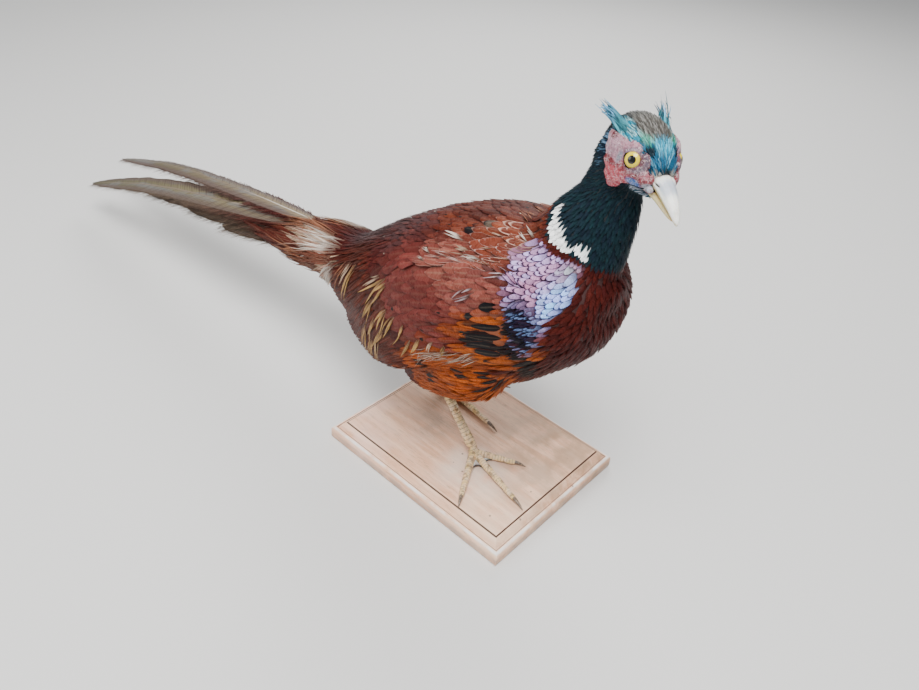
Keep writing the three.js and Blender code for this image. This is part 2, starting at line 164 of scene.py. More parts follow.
board = fresh_object("board", lambda: bpy.ops.mesh.primitive_cube_add(
    size=1, location=(0, 0, FOOT_THICK * MM / 2)))
board.scale = ((BOARD_LENGTH - 2 * FOOT_INSET) * MM, (BOARD_WIDTH - 2 * FOOT_INSET) * MM,
               FOOT_THICK * MM)
settle()
bpy.ops.object.mode_set(mode="EDIT")
bpy.ops.mesh.select_all(action="DESELECT")
bpy.ops.mesh.select_mode(type="FACE")
shape = bmesh.from_edit_mesh(board.data)
for face in shape.faces:
    face.select = face.normal.z > 0.9
bmesh.update_edit_mesh(board.data)
before_inset, before_height = FOOT_INSET, FOOT_THICK
for inset, height in board_profile():
    bpy.ops.mesh.extrude_region_move(
        TRANSFORM_OT_translate={"value": (0, 0, (height - before_height) * MM)})
    bpy.ops.transform.resize(value=(
        (BOARD_LENGTH / 2 - inset) / (BOARD_LENGTH / 2 - before_inset),
        (BOARD_WIDTH / 2 - inset) / (BOARD_WIDTH / 2 - before_inset), 1),
        center_override=(0, 0, 0))
    before_inset, before_height = inset, height
bpy.ops.object.mode_set(mode="OBJECT")
worked(board, "BEVEL", width=0.35 * MM, segments=2, limit_method="ANGLE",
       angle_limit=math.radians(60))
bpy.ops.object.shade_smooth_by_angle(angle=math.radians(32))

# Where the bead gets its painted highlight (above 0) and the grooves their painted shade (below 0).
bead_light_groove_shade = board.data.attributes.new("bead_light_groove_shade", "FLOAT", "POINT")
for vertex in board.data.vertices:
    inset = min(BOARD_LENGTH / 2 - abs(vertex.co.x) / MM, BOARD_WIDTH / 2 - abs(vertex.co.y) / MM)
    bead_highlight = math.exp(-(((inset - 2.0) / 1.4) ** 2)) if vertex.co.z > 9 * MM else 0.0
    shade_in_groove = next((dark for start, end, dark in GROOVE_SHADE if start < inset < end), 0.0)
    bead_light_groove_shade.data[vertex.index].value = bead_highlight - shade_in_groove


def finish(name, **settings):
    """Starts a material with constants set on its shader; the nodes made next go into it."""
    global tree, shader
    material = bpy.data.materials.new(name)
    material.use_nodes = True
    tree = material.node_tree
    shader = tree.nodes["Principled BSDF"]
    for key, value in settings.items():
        shader.inputs[key.replace("_", " ")].default_value = value
    return material


class Value:
    """What a shader node gives out; arithmetic with it adds further nodes."""

    def __init__(self, socket):
        self.socket = socket

    def __add__(self, other):
        return maths("ADD", self, other)

    def __sub__(self, other):
        return maths("SUBTRACT", self, other)

    def __rsub__(self, other):
        return maths("SUBTRACT", other, self)

    def __mul__(self, other):
        return maths("MULTIPLY", self, other)

    def __truediv__(self, other):
        return maths("DIVIDE", self, other)

    def __pow__(self, other):
        return maths("POWER", self, other)

    def __abs__(self):
        return maths("ABSOLUTE", self)


def node(kind, gives, inputs=None, **properties):
    """Adds a shader node, sets it, fills or links its inputs and returns the outputs asked for."""
    made = tree.nodes.new("ShaderNode" + kind)
    for key, value in properties.items():
        setattr(made, key, value)
    for key, value in (inputs or {}).items():
        if isinstance(value, Value):
            tree.links.new(value.socket, made.inputs[key])
        else:
            made.inputs[key].default_value = value
    if isinstance(gives, tuple):
        return [Value(made.outputs[each]) for each in gives]
    return Value(made.outputs[gives])


def maths(operation, a, b=0.0):
    return node("Math", 0, {0: a, 1: b}, operation=operation)


def vector_maths(operation, a, b=(0, 0, 0), gives=0):
    return node("VectorMath", gives, {0: a, 1: b}, operation=operation)


def axes(vector):
    return node("SeparateXYZ", (0, 1, 2), {0: vector})


def painted(name, gives="Color"):
    """What the mesh carries under a name."""
    return node("Attribute", gives, attribute_name=name)


def blend(under, share, over):
    """Lays a colour over another by a share; each is a node's or a plain red, green, blue."""
    def full(colour):
        return colour if isinstance(colour, Value) else (*colour, 1.0)
    return node("Mix", 2, {0: share, 6: full(under), 7: full(over)}, data_type="RGBA",
                blend_type="MIX", clamp_factor=True)


def ramp(value, low, high):
    """Rises smoothly from 0 at low to 1 at high."""
    return node("MapRange", 0, {"Value": value, "From Min": low, "From Max": high},
                interpolation_type="SMOOTHSTEP", clamp=True)


def cloudy(coords, scale, detail, stretch=None, distortion=0.0):
    """Noise on coordinates in metres, scale in features a metre, stretch a factor for each axis."""
    if stretch:
        coords = vector_maths("MULTIPLY", coords, stretch)
    return node("TexNoise", "Fac", {"Vector": coords, "Scale": scale, "Detail": detail,
                                    "Distortion": distortion})


def surface(colour, roughness=None, height=None, depth=0.0):
    """Wires the shader: colour, roughness, and a height raised by depth metres where it is 1."""
    tree.links.new(colour.socket, shader.inputs["Base Color"])
    if roughness:
        tree.links.new(roughness.socket, shader.inputs["Roughness"])
    if height:
        bump = node("Bump", 0, {"Height": height, "Distance": depth, "Strength": 1.0})
        tree.links.new(bump.socket, shader.inputs["Normal"])


wood = finish("dusty_oak", Roughness=0.55, Specular_IOR_Level=0.35)
coords = node("TexCoord", "Object")
figure = cloudy(coords, 1.0, 4, (13, 190, 190), 0.5)
pores = cloudy(coords, 1.0, 2, (130, 2300, 2300))
cloud = cloudy(coords, 26, 3)
pale = blend((0.97, 0.62, 0.42), ramp(figure, 0.34, 0.66), (0.80, 0.44, 0.27))
pale = blend(pale, ramp(pores, 0.56, 0.7) * 0.5, (0.26, 0.14, 0.09))
for x, y, core, reach, amount, patch_colour in STAINS_AND_SHADE:
    away = vector_maths("DISTANCE", coords, (x, y, BOARD_THICK * MM), "Value")
    patch_part = ramp(away, reach, core) * ramp(cloudy(coords, 48, 4), 0.3, 0.62)
    pale = blend(pale, patch_part * amount, patch_colour)
facing = axes(node("NewGeometry", "Normal"))[2]
dust = ramp(facing, 0.2, 0.95) * ramp(cloud, 0.42, 0.72)
pale = blend(pale, dust * 0.18, (0.96, 0.80, 0.68))
# Painted shade: the lower part of the board's sides is darkened, mottled.
darker_low = ramp(axes(coords)[2], 0.0088, 0.005) * ramp(cloudy(coords, 70, 4), 0.2, 0.7)
pale = blend(pale, darker_low * 0.7, (0.42, 0.32, 0.29))
light_and_shade = painted("bead_light_groove_shade", "Fac")
# Painted highlight along the bead, patchy.
bead_highlight_part = ramp(light_and_shade, 0.2, 0.9) * ramp(cloudy(coords, 60, 4), 0.3, 0.6)
pale = blend(pale, bead_highlight_part * 0.9, (0.98, 0.93, 0.89))
# Painted shade in the grooves.
pale = blend(pale, ramp(light_and_shade, -0.1, -0.8), (0.12, 0.07, 0.055))
specks = node("TexVoronoi", "Distance", {"Vector": coords, "Scale": 75.0})
speckled = ramp(specks, 0.085, 0.05) * ramp(cloudy(coords, 14, 1), 0.46, 0.56)
pale = blend(pale, speckled * 0.75, (0.17, 0.10, 0.08))
surface(pale, cloud * 0.35 + 0.42, figure * 0.5 + pores, 0.00012)
board.data.materials.append(wood)
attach(board, "root")
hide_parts("base_board")

# ---------------------------------------------------------------- skin under the plumage
# One stretched skin runs over the whole form from the bill's root to the tail, with no seam, as
# a taxidermist draws it over the manikin. It lies inside the bird's outline by the depth of the
# feathers, and its own dull colours follow the plumage that grows from it.
FLESH = ("trunk", "neck", "head", "tail_coverts", "wing_left", "wing_right", "thigh_left",
         "thigh_right", "wattle_left", "wattle_right")
# Balls in the tail's pocket: centre, half width and half height in mm; all are equally long.
STUFFING = [(-170, 4, 127, 30, 21), (-198, 3, 126, 30, 18), (-225, 2, 121, 28, 14),
            (-250, 1, 118, 25, 12), (-270, 0, 115, 19, 8)]
STUFFING_LONG = 26
MID_Y = 4.0
HEAD_CENTRE = Vector((104, 5, 315))
HEAD_TURN, HEAD_NOD, HEAD_LEAN = (math.radians(a) for a in (-30.8, 6.4, -4.3))
head_turned = (Matrix.Rotation(HEAD_TURN, 4, "Z") @ Matrix.Rotation(HEAD_NOD, 4, "Y")
               @ Matrix.Rotation(HEAD_LEAN, 4, "X"))
HEAD_AXES = np.array(head_turned.to_3x3())
HEAD_AT = np.array(HEAD_CENTRE)


def rows(points):
    """Any points as an array with one in each row."""
    return np.asarray(points, float).reshape(-1, 3)


def in_head(points):
    """Points in mm in the head's own axes: x forward, y to its left, z up."""
    return (rows(points) - HEAD_AT) @ HEAD_AXES


def from_head(points):
    """Points in the head's axes back in the model's, in mm."""
    return rows(points) @ HEAD_AXES.T + HEAD_AT


def folded(points):
    """Points in mm with both sides of the body laid on one: y is the distance from mid-plane."""
    flat = rows(points).copy()
    flat[:, 1] = np.abs(flat[:, 1] - MID_Y)
    return flat


def unit(vectors):
    """Vectors brought to length 1."""
    return vectors / np.linalg.norm(vectors, axis=-1, keepdims=True)


def towards(start, goal, part):
    """Moves colours or measures a part of the way to others."""
    return start + (np.array(goal) - start) * part[:, None]


def rise(value, low, high):
    """0 below low, 1 above high, smooth between."""
    t = np.clip((np.asarray(value, float) - low) / (high - low), 0, 1)
    return t * t * (3 - 2 * t)


def waver(points, size):
    """A smooth irregular value in -1..1 with features about size mm across."""
    p = rows(points) / size
    total = 0
    for turn, speed in ((0.0, 1.0), (1.3, 1.9), (2.9, 3.1)):
        a = np.sin(p @ np.array([math.cos(turn), math.sin(turn), 0.7]) * 2.1 * speed + turn)
        b = np.sin(p @ np.array([-math.sin(turn), 0.6, math.cos(turn)]) * 2.3 * speed + 2 * turn)
        total = total + a * b / speed
    return np.clip(total / 1.3, -1, 1)


# The lie of the coat: where a feather roots, folded onto one side, and the way it points.
BODY_LIE = np.array([
    [58, 0, 272, -0.35, 0, -0.94], [75, 20, 262, -0.3, 0, -0.95], [97, 0, 265, -0.05, 0, -1],
    [108, 0, 214, -0.15, 0, -1], [85, 0, 165, -0.8, 0, -0.6], [92, 35, 215, -0.72, 0.25, -0.6],
    [66, 46, 218, -0.85, 0.1, -0.5], [75, 50, 195, -0.95, 0, 0], [60, 58, 182, -0.95, 0, 0.25],
    [0, 0, 100, -1, 0, -0.1], [20, 40, 115, -1, 0, -0.15], [40, 55, 140, -0.95, 0, -0.15],
    [0, 55, 125, -0.9, 0, -0.42], [-35, 40, 95, -0.85, 0, -0.5], [20, 0, 248, -0.95, 0, 0.1],
    [15, 40, 235, -0.95, 0.1, -0.25], [-60, 0, 215, -0.9, 0, -0.4], [-120, 0, 170, -0.85, 0, -0.5],
    [45, 62, 205, -0.92, 0, -0.35], [0, 68, 190, -0.86, 0, -0.5], [-47, 66, 147, -0.5, 0, -0.87],
    [-69, 60, 168, -0.62, 0, -0.79], [-80, 52, 105, -0.5, 0, -0.87], [-115, 44, 140, -0.8, 0, -0.6],
    [-200, 20, 130, -1, 0, -0.12], [-280, 0, 110, -1, 0, -0.15], [-110, 0, 85, -0.95, 0, -0.1],
])
LIE_REACH = 26.0
# The same on the head, in its own axes.
HEAD_LIE = np.array([
    [20, 0, 12, -0.9, 0, 0.4], [0, 0, 24, -1, 0, 0], [-25, 0, 18, -0.8, 0, -0.6],
    [-34, 0, 2, -0.2, 0, -1], [-20, 19, 8, -0.8, 0, -0.5], [15, 12, 6, -0.95, 0.2, 0.25],
    [10, 12, -12, -0.9, 0.1, -0.5], [16, 0, -16, -0.7, 0, -0.7], [-10, 14, -18, -0.6, 0, -0.8],
    [-5, 14, 17, -1, 0.15, 0.1],
])
HEAD_LIE_REACH = 9.0


def lie(points):
    """Unit direction that the plumage points at each place."""
    def spread(places, at, directions, reach):
        away = ((places[:, None, :] - at[None]) ** 2).sum(2)
        share = np.exp(-(away - away.min(1)[:, None]) / (2 * reach * reach))
        return (share / share.sum(1)[:, None]) @ directions
    points = rows(points)
    body = spread(folded(points), BODY_LIE[:, :3], BODY_LIE[:, 3:], LIE_REACH)
    body[:, 1] *= np.where(points[:, 1] > MID_Y, 1, -1)
    local = in_head(points)
    side = np.where(local[:, 1] > 0, 1, -1)
    local[:, 1] = np.abs(local[:, 1])
    face = spread(local, HEAD_LIE[:, :3], HEAD_LIE[:, 3:], HEAD_LIE_REACH)
    face[:, 1] *= side
    on_head = rise(up_the_head(points), 284, 304)[:, None]
    return unit(body * (1 - on_head) + (face @ HEAD_AXES.T) * on_head)


# Markings, and painted highlights on the gorget: each patch is a soft-edged ellipsoid of feathers,
# folded onto one side, painted over the ones before it. It has two colours, a rim colour and
# width, and amounts of pale shaft streak, dark spot and fine bars. The share is the part of its
# feathers in the second colour, or -1 where every feather is a mix of its own.
MAROON = ((0.095, 0.017, 0.013), (0.060, 0.011, 0.010))
MAROON_RIM, MAROON_PATTERN = (0.030, 0.007, 0.008), (0.09, 0.0, 0.0, 0.0)
GORGET_PARTS = ("shoulder", "sheen", "sky", "mottle")
BODY_PATCHES = [
    # name, centre, radii, softness, first, second, share, rim, rim width, streak, spot, bars
    ("mantle", (-5, 0, 245), (78, 42, 42), 0.3, (0.225, 0.052, 0.026), (0.12, 0.027, 0.018), -1,
     (0.040, 0.010, 0.010), 0.17, 0.03, 0.16, 0.1),
    ("ridge", (-12, 6, 252), (56, 22, 18), 0.5, (0.135, 0.036, 0.025), (0.08, 0.022, 0.017), -1,
     (0.035, 0.010, 0.010), 0.17, 0.03, 0.12, 0.1),
    ("back", (-75, 0, 205), (52, 45, 30), 0.5, (0.13, 0.038, 0.032), (0.085, 0.045, 0.046), -1,
     (0.05, 0.02, 0.02), 0.2, 0.0, 0.1, 0.1),
    ("rump", (-130, 0, 176), (50, 34, 30), 0.4, (0.10, 0.056, 0.060), (0.06, 0.024, 0.024), -1,
     (0.13, 0.09, 0.095), 0.12, 0.05, 0.0, 0.0),
    ("rump_side", (-112, 46, 138), (46, 34, 44), 0.35, (0.12, 0.018, 0.009), (0.058, 0.011,
     0.007), -1, (0.13, 0.034, 0.018), 0.08, 0.05, 0.0, 0.0),
    ("coverts", (-8, 68, 192), (68, 34, 46), 0.22, (0.22, 0.050, 0.042), (0.13, 0.027, 0.023),
     -1, (0.050, 0.010, 0.010), 0.12, 0.03, 0.05, 0.0),
    ("lesser", (36, 66, 214), (22, 24, 22), 0.3, (0.32, 0.095, 0.072), (0.21, 0.062, 0.055), -1,
     (0.10, 0.028, 0.028), 0.1, 0.05, 0.0, 0.0),
    ("flights", (-66, 55, 122), (44, 34, 46), 0.3, (0.12, 0.021, 0.011), (0.065, 0.012, 0.008),
     -1, (0.26, 0.10, 0.03), 0.06, 0.05, 0.0, 0.1),
    ("vent", (-100, 0, 92), (60, 34, 24), 0.4, (0.075, 0.02, 0.013), (0.04, 0.016, 0.013), -1,
     (0.04, 0.016, 0.013), 0.2, 0.0, 0.0, 0.1),
    ("belly", (10, 0, 100), (78, 34, 26), 0.35, (0.075, 0.02, 0.012), (0.025, 0.013, 0.012),
     0.45, (0.02, 0.01, 0.01), 0.2, 0.0, 0.0, 0.1),
    ("thigh", (22, 58, 124), (46, 34, 38), 0.22, (0.56, 0.115, 0.017), (0.38, 0.068, 0.013), -1,
     (0.25, 0.042, 0.012), 0.12, 0.06, 0.0, 0.22),
    ("low_thigh", (-6, 44, 94), (40, 26, 24), 0.22, (0.50, 0.10, 0.016), (0.34, 0.06, 0.012), -1,
     (0.20, 0.036, 0.012), 0.12, 0.06, 0.0, 0.22),
    ("flank", (50, 62, 180), (34, 26, 27), 0.25, (0.60, 0.135, 0.022), (0.38, 0.07, 0.015), -1,
     (0.10, 0.022, 0.012), 0.12, 0.05, 0.0, 0.05),
    ("shoulder", (64, 44, 228), (42, 40, 36), 0.14, (0.68, 0.52, 0.98), (0.68, 0.32, 0.52), -1,
     (0.020, 0.008, 0.026), 0.25, 0.0, 0.0, 0.0),
    # Painted highlights on the gorget's scales: a pale silvery sheen, and below it a bright blue.
    ("sheen", (87, 30, 236), (10, 12, 13), 0.5, (0.62, 0.64, 0.74), (0.42, 0.27, 0.36), 0.7,
     (0.10, 0.06, 0.11), 0.18, 0.0, 0.0, 0.0),
    ("sky", (85, 41, 219), (12, 14, 14), 0.5, (0.42, 0.92, 1.6), (0.60, 0.70, 1.45), -1, (0.025,
     0.03, 0.13), 0.23, 0.0, 0.0, 0.0),
    ("mottle", (69, 57, 200), (15, 17, 21), 0.4, (0.15, 0.23, 0.44), (0.018, 0.013, 0.030), 0.55,
     (0.015, 0.015, 0.05), 0.2, 0.0, 0.0, 0.0),
    ("covert_base", (-232, 0, 125), (78, 46, 34), 0.2, (0.12, 0.026, 0.017), (0.07, 0.017,
     0.013), -1, (0.22, 0.06, 0.035), 0.1, 0.08, 0.0, 0.0),
    ("covert_buff", (-204, 20, 137), (26, 12, 11), 0.3, (0.62, 0.42, 0.28), (0.24, 0.08, 0.05),
     0.45, (0.74, 0.57, 0.42), 0.16, 0.6, 0.0, 0.0),
    ("covert_pink", (-170, 33, 130), (16, 11, 12), 0.4, (0.34, 0.13, 0.07), (0.5, 0.34, 0.24),
     0.6, (0.5, 0.30, 0.19), 0.12, 0.4, 0.0, 0.0),
    ("scapulars", (0, 54, 221), (36, 18, 17), 0.5, (0.36, 0.12, 0.09), (0.20, 0.055, 0.043), -1,
     (0.46, 0.25, 0.20), 0.11, 0.1, 0.03, 0.0),
    ("crescents", (27, 29, 246), (21, 12, 12), 0.25, (0.25, 0.065, 0.036), (0.15, 0.036, 0.024),
     -1, (0.52, 0.30, 0.23), 0.22, 0.05, 0.0, 0.0),
    ("low_crescents", (26, 45, 236), (20, 14, 11), 0.3, (0.27, 0.07, 0.042), (0.17, 0.042, 0.03),
     -1, (0.48, 0.28, 0.24), 0.20, 0.0, 0.0, 0.0),
]
BLACK, CREAM, PALE = (0.012, 0.011, 0.013), (0.66, 0.47, 0.33), (0.88, 0.78, 0.68)
RUST, GOLD, DULL = (0.36, 0.14, 0.075), (0.62, 0.37, 0.13), (0.56, 0.33, 0.25)
WHITE = (1.35, 1.36, 1.33)


def strokes(colour, *marks):
    """Marks of one colour, each as its two ends, its half width and the colour."""
    return [(mark[:3], mark[3:6], mark[6], colour) for mark in marks]


# Single marks: both ends, folded onto one side like the patches, and half width, all in mm.
STROKES = strokes(
    BLACK,
    (46, 67, 213, 63, 61, 196, 3.0), (38, 69, 194, 56, 63, 182, 4.0),
    (34, 70, 187, 50, 65, 180, 3.6), (34, 69, 178, 54, 63, 170, 5.0),
    (54, 65, 192, 60, 62, 182, 4.4), (42, 68, 195, 47, 67, 189, 3.2),
    (61, 61, 201, 74, 56, 190, 3.8), (62, 61, 184, 76, 48, 168, 5.5),
    (-10, 66, 131, -11, 54, 107, 4.8), (19, 60, 137, 28, 60, 137, 3.3),
    (38, 58, 142, 48, 56, 148, 2.8), (46, 56, 139, 54, 51, 140, 2.6),
    (33, 61, 127, 44, 56, 130, 2.6), (50, 62, 165, 56, 59, 160, 3.5),
    (52, 52, 133, 57, 47, 135, 3.0), (71, 52, 170, 71, 38, 153, 5.8),
    (22, 73, 188, 22, 73, 189, 1.9), (8, 75, 188, 8, 75, 189, 1.8),
    (-2, 74, 176, -2, 74, 178, 1.8), (14, 72, 206, 14, 72, 207, 1.5),
    (-16, 73, 176, -16, 73, 177, 1.6), (35, 71, 200, 35, 71, 203, 1.9),
    (0, 31, 239, 1, 31, 239, 3.2), (10, 25, 244, 11, 25, 244, 3.5)) + strokes(
    CREAM,
    (0, 31, 239, 1, 31, 239, 0.9), (10, 25, 244, 11, 25, 244, 0.9))
COLLAR_STROKES = strokes(
    WHITE,
    (58, 18, 273, 60, 24, 266, 3.9), (60, 24, 266, 65, 27, 260, 5.8),
    (65, 27, 260, 72, 28, 256, 4.6), (72, 28, 256, 78, 26, 252, 2.4),
    (81, 26, 257, 82, 26, 257, 1.2), (84, 24, 253, 89, 22, 251, 2.8))
# Height of the edge between neck and body and of the gorget's top, by x, and the front and back
# edges of the gorget's side patch, by height.
NECK_EDGE = ((44, 60, 90, 104), (280, 255, 246, 238))
GORGET_TOP = ((36, 46, 58, 70, 89), (245, 249.5, 251, 247, 243))
GORGET_FRONT = ((188, 208, 214, 222, 232, 241, 250), (83, 83, 87, 90, 91, 89, 86))
GORGET_BACK = ((195, 207, 222, 235, 240, 250), (64, 62, 59, 50, 41, 39))
NECK_DARK = ((0.012, 0.021, 0.034), (0.012, 0.034, 0.041))
HEAD_PATCHES = [
    # name, centre and radii in the head's axes, first and second colour, share
    ("crown", (-8, 0, 22), (22, 13, 9), (0.15, 0.145, 0.13), (0.06, 0.062, 0.06), -1),
    ("nape_streaks", (-15, 16, 4), (6, 9, 18), (0.16, 0.28, 0.42), (0.008, 0.02, 0.04), 0.6),
    ("brow", (-9, 15, 18), (17, 6, 6), (0.05, 0.32, 0.44), (0.42, 0.78, 0.84), 0.45),
    ("front", (14, 5, 14), (9, 9, 10), (0.015, 0.07, 0.15), (0.10, 0.36, 0.58), 0.62),
    ("frost", (13, 3, 15), (9, 8, 10), (0.04, 0.19, 0.34), (0.26, 0.62, 0.82), 0.3),
    ("cyan", (9, 0, 20), (9, 8, 7), (0.06, 0.42, 0.62), (0.20, 0.74, 0.98), 0.6),
    ("green", (4, 8, 20.5), (6, 4, 5), (0.07, 0.46, 0.32), (0.22, 0.66, 0.56), 0.5),
    ("lore", (13, 9, 15), (3.5, 4, 6), (0.02, 0.05, 0.07), (0.01, 0.02, 0.03), -1),
    ("nostrils", (23.5, 5.6, 5), (3.8, 3.4, 4.2), (0.72, 0.70, 0.64), (0.02, 0.02, 0.02), 0.5),
    ("crown_streaks", (-4, 3, 24), (13, 9, 6), (0.13, 0.12, 0.105), (0.25, 0.24, 0.22), 0.45),
    ("chin", (16, 8, -10), (9, 6, 4), (0.50, 0.56, 0.66), (0.03, 0.09, 0.13), 0.45),
]


def ellipsoid(places, centre, radii, soft, ragged=0.0):
    """How far each place lies within an ellipsoid with a soft, ragged edge, 0..1."""
    away = np.linalg.norm((places - np.array(centre)) / np.array(radii), axis=1)
    return rise(1 + soft - away - ragged * waver(places, 16), 0, 2 * soft)


def above_neck_edge(points):
    """Height in mm over the line at which the neck's feathers end."""
    return points[:, 2] - np.interp(points[:, 0], *NECK_EDGE)


def up_the_head(points):
    """Height in mm measured square to the slope at which neck and head meet."""
    return points[:, 2] - 0.25 * (points[:, 0] - 90)


def within_gorget(points):
    """How far each point lies within the shining patch at the side of the breast, 0..1."""
    stray = 1.6 * waver(points, 8)
    front = np.interp(points[:, 2], *GORGET_FRONT) + stray
    back = np.interp(points[:, 2], *GORGET_BACK) + stray
    below = rise(np.interp(points[:, 0], *GORGET_TOP) - points[:, 2], -1, 1)
    return rise(front - points[:, 0], -1.5, 1.5) * rise(points[:, 0] - back, -1.5, 1.5) * below


def markings(points, luck):
    """Colours, rim colours and pattern amounts of feathers seen at points, each with its luck
    from 0 to 1."""
    points = rows(points)
    flat = folded(points)
    clump = np.clip(0.5 + 0.5 * waver(points, 7) + 0.5 * (luck - 0.5), 0, 1)

    def mixed(first, second, share, scattered=False):
        part = luck if share < 0 else ((luck if scattered else clump) < share).astype(float)
        return towards(np.array(first), second, part)

    tint = mixed(*MAROON, -1)
    rim = np.tile(MAROON_RIM, (len(points), 1))
    amounts = np.tile(MAROON_PATTERN, (len(points), 1))
    for name, centre, radii, soft, first, second, share, rim_colour, *pattern in BODY_PATCHES:
        part = ellipsoid(flat, centre, radii, soft, 0.22)
        if name in GORGET_PARTS:
            part = part * within_gorget(points)
        tint = towards(tint, mixed(first, second, share, name == "mottle"), part)
        rim = towards(rim, rim_colour, part)
        pattern = np.tile(pattern, (len(points), 1))
        if "crescents" in name:
            pattern[:, 0] *= 0.35 + 0.9 * luck
        amounts = towards(amounts, pattern, part)
    # A feather either has its spot or has none.
    amounts[:, 2] = (amounts[:, 2] > np.roll(luck, 1)).astype(float)

    neck = rise(above_neck_edge(points) + 1.5 * waver(points, 10), -1.5, 1.5)
    dark = mixed(*NECK_DARK, -1)
    tint, rim = towards(tint, dark, neck), towards(rim, dark * 0.45, neck)
    amounts = amounts * (1 - neck[:, None])

    local = in_head(points)
    local[:, 1] = np.abs(local[:, 1])
    for name, centre, radii, first, second, share in HEAD_PATCHES:
        part = ellipsoid(local, centre, radii, 0.3) * (points[:, 2] > 290)
        tint = towards(tint, mixed(first, second, share, True), part)
        rim = towards(rim, tint * 0.6, part)
    return tint, rim, amounts


def stroke_part(points, a, b, half, ragged=0.3):
    """How far each point lies in the single mark from a to b, 0..1."""
    flat = folded(points)
    a, b = np.array(a, float), np.array(b, float)
    t = np.clip((flat - a) @ (b - a) / max((b - a) @ (b - a), 1e-6), 0, 1)
    away = np.linalg.norm(flat - a - t[:, None] * (b - a), axis=1) / half
    return rise(1.12 - away - ragged * waver(points, 4), 0, 0.3)


def stroked(points, tint, marks):
    """Tints with single marks laid over them where they fall."""
    for a, b, half, colour in marks:
        tint = towards(tint, colour, stroke_part(points, a, b, half))
    return tint


def in_front_of_cheek(local):
    """How far in mm each place in the head's axes lies before the naked face's rear edge."""
    return local[:, 0] + 13.3 - 0.46 * (10 - local[:, 2])


def coat_depth(points):
    """Thickness of the plumage in mm."""
    points = rows(points)
    depth = 2.1 - 0.4 * rise(above_neck_edge(points), -6, 8)
    return depth - 0.6 * rise(up_the_head(points), 288, 302)


def take_up(name, mesh):
    """Puts a mesh into the scene as the selected and active object."""
    made = bpy.data.objects.new(name, mesh)
    bpy.context.scene.collection.objects.link(made)
    bpy.ops.object.select_all(action="DESELECT")
    made.select_set(True)
    bpy.context.view_layer.objects.active = made
    return made


def remeshed(name, nodes, voxel, smoothing, stuffing=(), swell=0.0, additions=()):
    """Copies of CAD nodes, and what is added to them, merged into one evenly meshed piece."""
    raw = bmesh.new()
    for node_name in nodes:
        raw.from_mesh(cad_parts[node_name].data)
    bmesh.ops.remove_doubles(raw, verts=raw.verts, dist=0.02 * MM)
    for ball in stuffing:
        bmesh.ops.create_uvsphere(raw, u_segments=20, v_segments=12, radius=1, matrix=ball)
    mesh = bpy.data.meshes.new(name)
    raw.to_mesh(mesh)
    raw.free()
    made = take_up(name, mesh)
    if additions:
        for extra in additions:
            extra.select_set(True)
        bpy.ops.object.join()
    if swell:
        worked(made, "DISPLACE", strength=swell * MM, mid_level=0)
    worked(made, "REMESH", mode="VOXEL", voxel_size=voxel * MM)
    worked(made, "SMOOTH", factor=0.5, iterations=smoothing)
    bpy.ops.object.shade_smooth()
    return made


def vertex_array(mesh, what="co"):
    """Places of a mesh's points in metres, or its normals."""
    values = np.zeros(len(mesh.vertices) * 3)
    source = mesh.vertices if what == "co" else mesh.vertex_normals
    source.foreach_get(what, values)
    return values.reshape(-1, 3)


def move_points(mesh, points):
    """Moves a mesh's points to places in mm."""
    mesh.vertices.foreach_set("co", (points * MM).ravel())
    mesh.update()


# The pocket that the tail's quills sit in is stuffed like the rest.
pocket = [Matrix.Translation(Vector((x, y, z)) * MM) @ Matrix.Diagonal(
    Vector((STUFFING_LONG, wide, tall, 1 / MM)) * MM) for x, y, z, wide, tall in STUFFING]
skin = remeshed("skin", FLESH, 2.1, 9, pocket, 0.45)
skin_co = vertex_array(skin.data)
# Under the naked face the skin is let in deeper, so that only the face shows.
face_room = in_head(skin_co / MM)
face_room[:, 1] = np.abs(face_room[:, 1])
face_room = (ellipsoid(face_room, (-1, 17, 1), (23, 8, 17), 0.25) * (skin_co[:, 2] > 0.285)
             * rise(in_front_of_cheek(face_room), -1.0, 1.5))
let_in = coat_depth(skin_co / MM) + 1.4 * face_room
skin_co -= vertex_array(skin.data, "vector") * (let_in[:, None] * MM)
skin.data.vertices.foreach_set("co", skin_co.ravel())
skin.data.update()


def paint(mesh, name, values):
    """Stores a colour for each vertex."""
    layer = mesh.attributes.new(name, "FLOAT_COLOR", "POINT")
    alpha = np.ones((len(values), 1)) if values.shape[1] == 3 else np.zeros((len(values), 0))
    layer.data.foreach_set("color", np.hstack([values, alpha]).astype(np.float32).ravel())


skin_tint = markings(skin_co / MM, np.full(len(skin_co), 0.5))[0]
skin_tint = stroked(skin_co / MM, skin_tint, COLLAR_STROKES)
paint(skin.data, "tint", skin_tint * 0.55)
hide = finish("skin", Roughness=0.7)
grain = cloudy(node("TexCoord", "Object"), 900, 3)
surface(blend(painted("tint"), grain * 0.4, (0.02, 0.012, 0.01)), None, grain, 0.0003)
skin.data.materials.append(hide)
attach(skin, "root")
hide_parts(*FLESH[:8])
skin_tree = BVHTree.FromPolygons([tuple(v) for v in skin_co / MM],
                                 [tuple(p.vertices) for p in skin.data.polygons])

# ---------------------------------------------------------------- bare face and wattles
# The cock's face is naked, wrinkled skin: a pale mauve upper part round the eye, a red lower
# lobe, dark lores and a little blue at the gape. It stands off the skull and is drawn up round
# the glass eye as a thick lid.
EYE_AT = np.array([7.5, 12.6, 7.0])
EYE_RADIUS = 6.2
EYE_AXIS = np.array([0.60, 0.74, 0.30]) / np.linalg.norm([0.60, 0.74, 0.30])
LID_OPENING = math.radians(47)
# The rear edge of the face is drawn in under the plumage, towards this place.
FACE_REAR = (-11.0, 3.0, 3.0)
